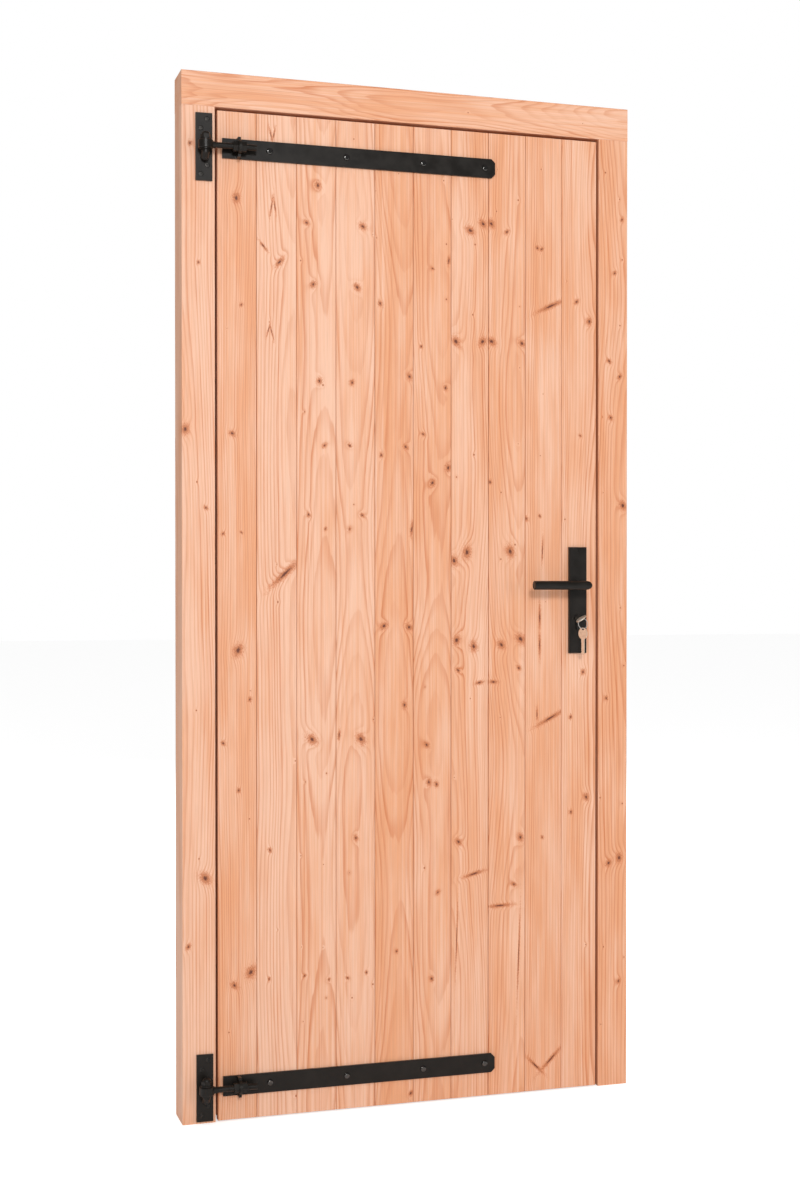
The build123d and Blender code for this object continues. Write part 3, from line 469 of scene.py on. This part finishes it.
def metal_group():
    """Drawn or milled metal: fine scratches along one way, and dull handling marks."""
    colour, number = "NodeSocketColor", "NodeSocketFloat"
    tree, s, given, result = new_group(
        "Worked metal",
        [("Vector", "NodeSocketVector", None), ("Bright", colour, (0.7, 0.7, 0.7, 1)),
         ("Dull", colour, (0.45, 0.45, 0.45, 1)), ("Base Roughness", number, 0.3)],
        [("Color", colour), ("Height", number), ("Roughness", number)])
    place = s.in_mm(given.outputs["Vector"])
    scratch = s.stretched(place, (3.0, 3.0, 0.12), 2.0, 0.6)[0]
    handling = s.stretched(place, (5.0, 5.0, 5.0), 3.0, 0.6)[0]
    metal = s.mix(s.step(handling, 0.3, 0.75), given.outputs["Bright"], given.outputs["Dull"])
    s.put(result.inputs["Color"], metal)
    s.put(result.inputs["Height"], scratch)
    s.put(result.inputs["Roughness"], s.math("ADD", given.outputs["Base Roughness"],
                                             s.math("MULTIPLY", s.math("SUBTRACT", handling, 0.4), 0.3)))
    return tree


GROUPS = {}


def group(name):
    """One of the shared shader groups, built when it is first used."""
    makers = {"fir": fir_group, "knot": knot_group, "coat": coat_group, "metal": metal_group}
    if name not in GROUPS:
        GROUPS[name] = makers[name]()
    return GROUPS[name]


def surface(name, group_name, values, bump_mm, location=(0, 0, 0), rotation=(0, 0, 0), metallic=0.0,
            shine=0.5):
    """A material: object coordinates, one shared group, and a Principled BSDF."""
    material = bpy.data.materials.new(name)
    material.use_nodes = True
    material.node_tree.nodes.clear()
    s = Shader(material.node_tree)
    coordinates = s.node("ShaderNodeTexCoord")
    mapping = s.node("ShaderNodeMapping", {"Vector": coordinates.outputs["Object"], "Location": location,
                                           "Rotation": rotation})
    figure = s.node("ShaderNodeGroup", node_tree=group(group_name))
    s.put(figure.inputs["Vector"], mapping.outputs[0])
    for label, value in values.items():
        s.put(figure.inputs[label], value)
    bump = s.node("ShaderNodeBump", {"Height": figure.outputs["Height"], "Distance": bump_mm * MM,
                                     "Strength": 1.0})
    body = s.node("ShaderNodeBsdfPrincipled", {"Base Color": figure.outputs["Color"],
                                               "Roughness": figure.outputs["Roughness"],
                                               "Normal": bump.outputs[0], "Metallic": metallic,
                                               "Specular IOR Level": shine})
    s.node("ShaderNodeOutputMaterial", {"Surface": body.outputs[0]})
    return material


def paint(thing, material):
    """Gives one object one material."""
    thing.data.materials.clear()
    thing.data.materials.append(material)


def wood_colours():
    colours = bpy.context.scene.door_colours
    return {"Pale": (*colours.pale_wood, 1), "Warm": (*colours.warm_wood, 1),
            "Late": (*colours.late_wood, 1), "Knot": (*colours.knot, 1)}


def timber(node, seed, figure, angle=90.0, half_width=None, middle=0.0, joints=(0.0, 0.0)):
    """Fir for one CAD timber. angle is the grain's, in degrees up from the X axis."""
    low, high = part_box(node)
    centre = (low + high) / 2 - Vector((middle, 0, 0))
    turn = math.radians(angle - 90.0)
    place = Matrix.Rotation(turn, 3, "Y") @ centre
    side, depth, ring, wander, knots, tone = figure
    values = {"Seed": seed, "Heart Side": side, "Heart Depth": depth, "Ring": ring, "Wander": wander,
              "Knots": knots, "Tone": tone, **wood_colours()}
    if half_width:
        values.update({"Half Width": half_width / MM, "Left Joint": joints[0], "Right Joint": joints[1]})
    made = surface(f"fir_{node}", "fir", values, 0.05, -place, (0, turn, 0))
    add_knots(made, centre, (high.y - low.y) / 2 / MM, KNOTS.get(node, ()))
    paint(NODES[node], made)


def add_knots(material, centre, front, knots):
    """Chains the placed knots of an upright timber into its figure. They die out behind its face."""
    s = Shader(material.node_tree)
    mapping = material.node_tree.nodes["Mapping"]
    figure = material.node_tree.nodes["Group"]
    last = None
    for knot in knots:
        x, z, radius = knot[:3]
        # A plain knot is a little longer than wide, and leans its own way
        stretch, lean = knot[3:] or (1.4, (7 * x + 3 * z) % 120 - 60)
        each = s.node("ShaderNodeGroup", node_tree=group("knot"))
        values = {"Vector": mapping.outputs[0], "Across": x - centre.x / MM, "Along": z - centre.z / MM,
                  "Radius": radius, "Stretch": stretch, "Lean": math.radians(lean), "Front": front}
        for label, value in values.items():
            s.put(each.inputs[label], value)
        if last:
            s.put(each.inputs["Knot Near"], last.outputs["Knot Near"])
            s.put(each.inputs["Knot Lift"], last.outputs["Knot Lift"])
        last = each
    if last:
        s.put(figure.inputs["Knot Near"], last.outputs["Knot Near"])
        s.put(figure.inputs["Knot Lift"], last.outputs["Knot Lift"])


# The sizes and colours that a user would change


class DoorSizes(bpy.types.PropertyGroup):
    """Sizes of the small fixings."""

    dome_radius: FloatProperty(name="Bolt head radius", description="Radius of the strap bolts' round heads",
                               default=6.5 * MM, unit="LENGTH")
    dome_height: FloatProperty(name="Bolt head height", description="Height of the strap bolts' round heads",
                               default=3.4 * MM, unit="LENGTH")
    screw_radius: FloatProperty(name="Screw head radius", description="Radius of the pintle screws' heads",
                                default=5.2 * MM, unit="LENGTH")
    plate_screw_radius: FloatProperty(name="Plate screw radius", default=3.8 * MM, unit="LENGTH",
                                      description="Radius of the long plates' screws")
    back_screw_radius: FloatProperty(name="Back screw radius", default=4.0 * MM, unit="LENGTH",
                                     description="Radius of the framing screws' heads")
    thread_pitch: FloatProperty(name="Thread pitch", description="Pitch of the eye bolts' thread",
                                default=1.75 * MM, unit="LENGTH")
    thread_steps: IntProperty(name="Thread steps", description="Faces in one turn of thread", default=24)


class DoorColours(bpy.types.PropertyGroup):
    """Colours of the timber, the metals and the floor."""

    pale_wood: FloatVectorProperty(name="Pale wood", description="Early wood at its palest", subtype="COLOR",
                                   default=(0.79, 0.475, 0.33))
    warm_wood: FloatVectorProperty(name="Warm wood", description="Early wood at its warmest", subtype="COLOR",
                                   default=(0.72, 0.33, 0.17))
    late_wood: FloatVectorProperty(name="Late wood", description="Late wood lines", subtype="COLOR",
                                   default=(0.58, 0.19, 0.07))
    knot: FloatVectorProperty(name="Knot", description="Hearts of the knots", subtype="COLOR",
                              default=(0.13, 0.028, 0.012))
    black: FloatVectorProperty(name="Black coat", description="Powder coating", subtype="COLOR",
                               default=(0.0075, 0.0056, 0.0040))
    floor: FloatVectorProperty(name="Floor", description="Studio floor", subtype="COLOR",
                               default=(0.9, 0.9, 0.9))


# The CAD pieces' finishes


class DOOR_OT_planks(bpy.types.Operator):
    """Gives each plank of the leaf its own cut of fir"""

    bl_idname = "door.planks"
    bl_label = "Finish the planks"

    def execute(self, context):
        for index, (node, figure) in enumerate(zip(PLANKS, PLANK_FIGURES)):
            low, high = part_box(node)
            tongue = TONGUE if node != PLANKS[-1] else 0.0
            half = (high.x - low.x - tongue) / 2
            joints = (JOINTS[index - 1], JOINTS[index])
            timber(node, 1.37 * (index + 1), figure, half_width=half, middle=tongue / 2, joints=joints)
        return {"FINISHED"}


class DOOR_OT_frame(bpy.types.Operator):
    """Gives the frame's timbers and stops their fir"""

    bl_idname = "door.frame"
    bl_label = "Finish the frame"

    def execute(self, context):
        timber("hinge_jamb", 21.3, (-60, 45, 4.2, 0.8, 0.7, 0.25))
        timber("lock_jamb", 23.9, (55, 60, 4.0, 0.9, 0.8, 0.75))
        timber("head_jamb", 27.1, (6, 62, 3.0, 2.3, 0.6, 0.55), angle=0.0)
        timber("hinge_stop", 31.7, (-50, 20, 3.6, 0.7, 0.3, 0.4))
        timber("lock_stop", 33.1, (40, 30, 3.4, 0.7, 0.3, 0.5))
        timber("head_stop", 35.9, (30, 26, 3.8, 0.8, 0.3, 0.45), angle=0.0)
        return {"FINISHED"}


class DOOR_OT_framing(bpy.types.Operator):
    """Gives the stiles, rails and braces behind the planks their fir"""

    bl_idname = "door.framing"
    bl_label = "Finish the framing"

    def execute(self, context):
        timber("leaf_hinge_stile", 41.3, (-75, -50, 4.0, 0.9, 0.7, 0.35))
        timber("leaf_lock_stile", 43.7, (60, -45, 3.8, 0.8, 0.7, 0.5))
        timber("leaf_top_rail", 45.1, (20, -60, 4.4, 1.2, 0.6, 0.4), angle=0.0)
        timber("leaf_middle_rail", 47.9, (-30, -55, 4.2, 1.1, 0.7, 0.55), angle=0.0)
        timber("leaf_bottom_rail", 51.3, (10, -70, 4.6, 1.3, 0.6, 0.45), angle=0.0)
        for node, seed in (("lower_brace", 53.3), ("upper_brace", 57.7)):
            low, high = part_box(node)
            angle = math.degrees(math.atan2(high.z - low.z, high.x - low.x))
            timber(node, seed, (-25, -50, 4.0, 1.0, 0.6, 0.5), angle=angle)
        return {"FINISHED"}


class DOOR_OT_ironwork(bpy.types.Operator):
    """Gives the hinges, plates and levers their black powder coat"""

    bl_idname = "door.ironwork"
    bl_label = "Finish the ironwork"

    def execute(self, context):
        coat = finish_of("black_coat")
        for node in ("upper_pintle", "lower_pintle", "pintle_nuts", "upper_strap", "lower_strap",
                     "upper_eye_bolt", "lower_eye_bolt", "strap_nuts", "outside_plate", "inside_plate",
                     "outside_lever", "inside_lever"):
            paint(NODES[node], coat)
        return {"FINISHED"}


FINISHES = {}


def finish_of(name):
    """A metal or coat that several pieces share, made when it is first used."""
    if name not in FINISHES:
        black = (*bpy.context.scene.door_colours.black, 1)
        # Each finish: its group, the group's values, bump in millimetres, metallic and specular level
        recipes = {
            "black_coat": ("coat", {"Black": black}, 0.02, 0.0, 0.3),
            "bolt_gloss": ("metal", {"Bright": (0.13, 0.125, 0.12, 1), "Dull": (0.08, 0.077, 0.074, 1),
                                     "Base Roughness": 0.08}, 0.005, 1.0, 0.5),
            "zinc_steel": ("metal", {"Bright": (0.62, 0.61, 0.60, 1), "Dull": (0.42, 0.41, 0.40, 1)},
                           0.01, 1.0, 0.5),
            "dark_steel": ("metal", {"Bright": (0.06, 0.055, 0.05, 1), "Dull": (0.03, 0.03, 0.03, 1),
                                     "Base Roughness": 0.35}, 0.01, 1.0, 0.5),
            "pale_brass": ("metal", {"Bright": (0.86, 0.72, 0.58, 1), "Dull": (0.66, 0.52, 0.40, 1)},
                           0.01, 0.55, 0.5),
            "ring_wire": ("metal", {"Bright": (0.85, 0.84, 0.82, 1), "Dull": (0.6, 0.59, 0.57, 1),
                                    "Base Roughness": 0.15}, 0.01, 0.6, 0.5),
        }
        kind, values, bump, metallic, shine = recipes[name]
        FINISHES[name] = surface(name, kind, values, bump, metallic=metallic, shine=shine)
    return FINISHES[name]


class DOOR_OT_lock(bpy.types.Operator):
    """Gives the lock, its cylinder and the keys their metals"""

    bl_idname = "door.lock"
    bl_label = "Finish the lock and keys"

    def execute(self, context):
        finishes = {
            "zinc_steel": ("strike_plate", "lock_faceplate", "lever_spindle", "lock_bolts", "lock_case"),
            "dark_steel": ("lock_cylinder", "cylinder_plug"),
            "pale_brass": ("lock_key", "spare_key"),
            "ring_wire": ("key_ring",),
        }
        for name, nodes in finishes.items():
            for node in nodes:
                paint(NODES[node], finish_of(name))
        return {"FINISHED"}


# The small fixings that scene.py adds


def lathe_head(radius, height, recess, sides=32, steps=6):
    """A round head at the origin, facing -Y: a domed disc, with a drive recess if asked."""
    deselect_all()
    bpy.ops.mesh.primitive_cylinder_add(vertices=sides, radius=radius, depth=height,
                                        location=(0, -height / 2, 0), rotation=(math.pi / 2, 0, 0))
    head = bpy.context.view_layer.objects.active
    settle(head)
    bpy.ops.object.mode_set(mode="EDIT")
    top = -height
    select_edges(head, lambda a, b: abs(a.y - top) < 1e-6 and abs(b.y - top) < 1e-6)
    bpy.ops.mesh.bevel(offset=height * 0.92, segments=steps, profile=0.55, affect="EDGES")
    if recess:
        select_faces(head, lambda face: face.normal.y < -0.99 and len(face.vertices) == sides)
        bpy.ops.mesh.inset(thickness=radius * 0.35, depth=0)
        bpy.ops.mesh.inset(thickness=radius * 0.05, depth=-height * recess)
    bpy.ops.object.mode_set(mode="OBJECT")
    only(head)
    bpy.ops.object.shade_smooth_by_angle(angle=math.radians(35))
    return head


def hex_nut(across, height):
    """A hexagonal nut at the origin, standing on Y = 0 and facing +Y, with rounded corners."""
    deselect_all()
    bpy.ops.mesh.primitive_cylinder_add(vertices=6, radius=across / math.sqrt(3), depth=height,
                                        location=(0, height / 2, 0), rotation=(math.pi / 2, 0, 0))
    nut = bpy.context.view_layer.objects.active
    settle(nut)
    bpy.ops.object.mode_set(mode="EDIT")
    select_faces(nut, lambda face: abs(face.normal.y) > 0.99)
    bpy.ops.mesh.inset(thickness=across * 0.09, depth=0)
    bpy.ops.mesh.inset(thickness=across * 0.02, depth=0)
    bpy.ops.object.mode_set(mode="OBJECT")
    only(nut)
    bpy.ops.object.modifier_add(type="BEVEL")
    nut.modifiers["Bevel"].width = across * 0.03
    nut.modifiers["Bevel"].segments = 2
    bpy.ops.object.modifier_apply(modifier="Bevel")
    return nut


def finish_piece(piece, body, material):
    """Paints a finished piece, and has it ride on its body."""
    paint(piece, material)
    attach(piece, body)
    return piece


def strap_bolt_places():
    """Where the strap bolts stand: the strap's fixing holes, from the strap's left end."""
    places = []
    for node in ("upper_strap", "lower_strap"):
        low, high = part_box(node)
        middle = (low.z + high.z) / 2
        places += [Vector((low.x + along * MM, STRAP_FACE, middle)) for along in STRAP_HOLES]
    return places


class DOOR_OT_strap_bolts(bpy.types.Operator):
    """Round-headed bolts through the straps, with their washers and nuts behind the rails"""

    bl_idname = "door.strap_bolts"
    bl_label = "Add the strap bolts"

    def execute(self, context):
        sizes = context.scene.door_sizes
        head = lathe_head(sizes.dome_radius, sizes.dome_height, 0)
        places = strap_bolt_places()
        heads = join_as([copy_to(head, place) for place in places], "strap_bolt_heads")
        discard(head)
        finish_piece(heads, "leaf", finish_of("bolt_gloss"))
        nut = hex_nut(10 * MM, NUT_THICK * MM)
        washer = lathe_head(9 * MM, WASHER_THICK * MM, 0)
        end = lathe_head(3 * MM, 3.5 * MM, 0)
        flip = Matrix.Rotation(math.pi, 4, "Z")
        behind = []
        for place in places:
            back = Vector((place.x, LEAF_BACK, place.z))
            behind.append(copy_to(washer, back, flip))
            behind.append(copy_to(nut, back + Vector((0, WASHER_THICK * MM, 0))))
            behind.append(copy_to(end, back + Vector((0, 6.0 * MM, 0)), flip))
        for model in (nut, washer, end):
            discard(model)
        steel = finish_of("zinc_steel")
        finish_piece(join_as(behind, "strap_bolt_nuts"), "leaf", steel)
        return {"FINISHED"}


class DOOR_OT_pintle_screws(bpy.types.Operator):
    """Countersunk screws in the pintle plates"""

    bl_idname = "door.pintle_screws"
    bl_label = "Add the pintle screws"

    def execute(self, context):
        radius = context.scene.door_sizes.screw_radius
        head = lathe_head(radius, 1.6 * MM, 0.5)
        screws = []
        for node in ("upper_pintle", "lower_pintle"):
            low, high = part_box(node)
            x, z = (low.x + high.x) / 2, (low.z + high.z) / 2
            for across, up in PINTLE_HOLES:
                place = Vector((x + across * MM, STRAP_FACE + 1.2 * MM, z + up * MM))
                screws.append(copy_to(head, place))
        discard(head)
        finish_piece(join_as(screws, "pintle_screws"), "frame", finish_of("dark_steel"))
        return {"FINISHED"}


class DOOR_OT_plate_screws(bpy.types.Operator):
    """Countersunk screws at the ends of both long plates"""

    bl_idname = "door.plate_screws"
    bl_label = "Add the plate screws"

    def execute(self, context):
        radius = context.scene.door_sizes.plate_screw_radius
        head = lathe_head(radius, 1.2 * MM, 0.55)
        screws = []
        flip = Matrix.Rotation(math.pi, 4, "Z")
        for node, out, turn in (("outside_plate", -1, Matrix()), ("inside_plate", 1, flip)):
            low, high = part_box(node)
            y = (high if out > 0 else low).y - out * 1.0 * MM
            for z in (high.z - PLATE_SCREW_INSET * MM, low.z + PLATE_SCREW_INSET * MM):
                screws.append(copy_to(head, Vector(((low.x + high.x) / 2, y, z)), turn))
        discard(head)
        finish_piece(join_as(screws, "plate_screws"), "leaf", finish_of("black_coat"))
        return {"FINISHED"}


def thread_run(turns):
    """A ridge that winds round the X axis, starting at X = 0."""
    sizes = bpy.context.scene.door_sizes
    deselect_all()
    bpy.ops.mesh.primitive_circle_add(vertices=3, radius=0.5 * MM,
                                      location=(0, 0, THREAD_RADIUS * MM), rotation=(math.pi / 2, 0, 0))
    ridge = bpy.context.view_layer.objects.active
    settle(ridge)
    bpy.ops.object.modifier_add(type="SCREW")
    screw = ridge.modifiers["Screw"]
    screw.axis = "X"
    screw.screw_offset = sizes.thread_pitch
    screw.iterations = turns
    screw.steps = screw.render_steps = sizes.thread_steps
    bpy.ops.object.modifier_apply(modifier="Screw")
    bpy.ops.object.mode_set(mode="EDIT")
    bpy.ops.mesh.select_all(action="SELECT")
    bpy.ops.mesh.fill_holes(sides=3)
    bpy.ops.mesh.normals_make_consistent(inside=False)
    bpy.ops.object.mode_set(mode="OBJECT")
    return ridge


class DOOR_OT_threads(bpy.types.Operator):
    """The threads of the eye bolts, on both sides of their nuts"""

    bl_idname = "door.threads"
    bl_label = "Cut the eye bolts' threads"

    def execute(self, context):
        pitch = context.scene.door_sizes.thread_pitch
        nut_low, nut_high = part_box("strap_nuts")
        runs = []
        for node in ("upper_eye_bolt", "lower_eye_bolt"):
            low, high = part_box(node)
            y, z = (low.y + high.y) / 2, (low.z + high.z) / 2
            for start, end in ((THREAD_START * MM, nut_low.x), (nut_high.x, high.x)):
                # One turn less than would fit, so that a run stays clear of its nut and its end
                turns = int((end - start) / pitch) - 1
                run = thread_run(turns)
                runs.append(copy_to(run, Vector((start + pitch / 4, y, z))))
                discard(run)
        finish_piece(join_as(runs, "eye_bolt_threads"), "leaf", finish_of("black_coat"))
        return {"FINISHED"}


class DOOR_OT_framing_screws(bpy.types.Operator):
    """The screws that hold the planks, driven through the framing from behind"""

    bl_idname = "door.framing_screws"
    bl_label = "Add the framing screws"

    def execute(self, context):
        head = lathe_head(context.scene.door_sizes.back_screw_radius, 0.6 * MM, 0.8, sides=16, steps=2)
        flip = Matrix.Rotation(math.pi, 4, "Z")
        places = []
        for node, rows in RAIL_ROWS.items():
            low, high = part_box(node)
            middle = (low.z + high.z) / 2
            for index, plank in enumerate(PLANKS[1:-1]):
                places.append((plank_middle(plank), middle + rows[index % 2] * MM))
        for node in ("leaf_hinge_stile", "leaf_lock_stile"):
            low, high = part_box(node)
            for step in range(STILE_SCREWS):
                z = low.z + (high.z - low.z) * (step + 0.5) / STILE_SCREWS
                side = 0.3 if step % 2 else 0.7
                places.append((low.x + (high.x - low.x) * side, z))
        for node in ("lower_brace", "upper_brace"):
            low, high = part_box(node)
            for plank in PLANKS[2:-2]:
                x = plank_middle(plank)
                share = (x - low.x) / (high.x - low.x)
                places.append((x, low.z + (high.z - low.z) * share))
        low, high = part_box("inside_plate")
        screws = [copy_to(head, Vector((x, LEAF_BACK, z)), flip) for x, z in places
                  if not (low.x < x < high.x and low.z < z < high.z)]
        discard(head)
        finish_piece(join_as(screws, "framing_screws"), "leaf", finish_of("zinc_steel"))
        return {"FINISHED"}


def plank_middle(node):
    """The middle of a plank's face, without its tongue."""
    low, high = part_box(node)
    return (low.x + high.x - TONGUE) / 2


class DOOR_OT_stop_pins(bpy.types.Operator):
    """Small pins through the stops"""

    bl_idname = "door.stop_pins"
    bl_label = "Add the stop pins"

    def execute(self, context):
        head = lathe_head(1.6 * MM, 0.5 * MM, 0, sides=12, steps=2)
        pins = []
        for node, out, turn in (("hinge_stop", 1, Matrix.Rotation(math.pi / 2, 4, "Z")),
                                ("lock_stop", -1, Matrix.Rotation(-math.pi / 2, 4, "Z"))):
            low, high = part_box(node)
            x = high.x if out > 0 else low.x
            for step in range(UPRIGHT_PINS):
                z = low.z + (high.z - low.z) * (step + 0.5) / UPRIGHT_PINS
                pins.append(copy_to(head, Vector((x, (low.y + high.y) / 2, z)), turn))
        low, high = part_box("head_stop")
        upwards = Matrix.Rotation(math.pi / 2, 4, "X")
        for step in range(HEAD_PINS):
            x = low.x + (high.x - low.x) * (step + 0.5) / HEAD_PINS
            pins.append(copy_to(head, Vector((x, (low.y + high.y) / 2, low.z)), upwards))
        discard(head)
        finish_piece(join_as(pins, "stop_pins"), "frame", finish_of("zinc_steel"))
        return {"FINISHED"}


class DOOR_OT_stage(bpy.types.Operator):
    """A pale floor, soft studio lights and the camera"""

    bl_idname = "door.stage"
    bl_label = "Set the stage"

    def execute(self, context):
        deselect_all()
        bpy.ops.mesh.primitive_plane_add(size=60, location=(0.5, 0, 0))
        floor = bpy.context.view_layer.objects.active
        floor.name = "studio_floor"
        settle(floor)
        paint(floor, floor_material(context.scene.door_colours.floor))
        studio_world(context.scene)
        for light in LIGHTS:
            add_light(*light)
        add_camera()
        return {"FINISHED"}


def floor_material(colour):
    """A matt pale floor that looks a little brighter than it lights the door."""
    material = bpy.data.materials.new("studio_floor")
    material.use_nodes = True
    material.node_tree.nodes.clear()
    s = Shader(material.node_tree)
    path = s.node("ShaderNodeLightPath")
    glow = s.math("MULTIPLY", path.outputs["Is Camera Ray"], FLOOR_GLOW)
    body = s.node("ShaderNodeBsdfPrincipled", {"Base Color": (*colour, 1), "Roughness": 0.9,
                                               "Emission Color": (1, 1, 1, 1), "Emission Strength": glow})
    s.node("ShaderNodeOutputMaterial", {"Surface": body.outputs[0]})
    return material


def studio_world(scene):
    """A white backdrop that lights the door softly, mirrors darkly, and true display colours."""
    scene.view_settings.view_transform = "Standard"
    world = bpy.data.worlds.new("studio")
    scene.world = world
    world.use_nodes = True
    world.node_tree.nodes.clear()
    s = Shader(world.node_tree)
    path = s.node("ShaderNodeLightPath")
    strength = s.step(path.outputs["Is Glossy Ray"], 0.0, 1.0, SKY_STRENGTH, SKY_MIRRORED)
    strength = s.math("MAXIMUM", strength, path.outputs["Is Camera Ray"])
    sky = s.node("ShaderNodeBackground", {"Color": (1, 1, 1, 1), "Strength": strength})
    s.node("ShaderNodeOutputWorld", {"Surface": sky.outputs[0]})


def add_light(name, place, target, size, energy, mirrored):
    """A square soft light that points at a target, and may be kept out of reflections."""
    bpy.ops.object.light_add(type="AREA", location=place)
    light = bpy.context.view_layer.objects.active
    light.name = name
    light.data.size = size
    light.data.energy = energy
    light.visible_glossy = mirrored
    light.rotation_euler = (Vector(target) - Vector(place)).to_track_quat("-Z", "Y").to_euler()


def add_camera():
    """The photo's camera: a little left of the door, at chest height."""
    bpy.ops.object.camera_add(location=CAMERA_PLACE,
                              rotation=(math.radians(CAMERA_TILT), 0, math.radians(CAMERA_TURN)))
    camera = bpy.context.view_layer.objects.active
    camera.name = "photo_camera"
    camera.data.lens = CAMERA_LENS
    bpy.context.scene.camera = camera


class DOOR_PT_panel(bpy.types.Panel):
    """Lists the door's sizes, colours and steps"""

    bl_idname = "DOOR_PT_panel"
    bl_label = "Plank door"
    bl_space_type = "VIEW_3D"
    bl_region_type = "UI"
    bl_category = "Plank door"

    def draw(self, context):
        for group_of in (context.scene.door_sizes, context.scene.door_colours):
            box = self.layout.box()
            for name in group_of.__annotations__:
                box.prop(group_of, name)
        for step in STEPS:
            self.layout.operator(step.bl_idname)


STEPS = (DOOR_OT_planks, DOOR_OT_frame, DOOR_OT_framing, DOOR_OT_ironwork, DOOR_OT_lock,
         DOOR_OT_strap_bolts, DOOR_OT_pintle_screws, DOOR_OT_plate_screws, DOOR_OT_threads,
         DOOR_OT_framing_screws, DOOR_OT_stop_pins, DOOR_OT_stage)
CLASSES = (DoorSizes, DoorColours, *STEPS, DOOR_PT_panel)


def register():
    for each in CLASSES:
        bpy.utils.register_class(each)
    bpy.types.Scene.door_sizes = PointerProperty(type=DoorSizes)
    bpy.types.Scene.door_colours = PointerProperty(type=DoorColours)


def unregister():
    del bpy.types.Scene.door_colours
    del bpy.types.Scene.door_sizes
    for each in reversed(CLASSES):
        bpy.utils.unregister_class(each)


def main():
    """Builds everything in order."""
    register()
    bpy.ops.door.planks()
    bpy.ops.door.frame()
    bpy.ops.door.framing()
    bpy.ops.door.ironwork()
    bpy.ops.door.lock()
    bpy.ops.door.strap_bolts()
    bpy.ops.door.pintle_screws()
    bpy.ops.door.plate_screws()
    bpy.ops.door.threads()
    bpy.ops.door.framing_screws()
    bpy.ops.door.stop_pins()
    bpy.ops.door.stage()


if __name__ == "__main__":
    main()
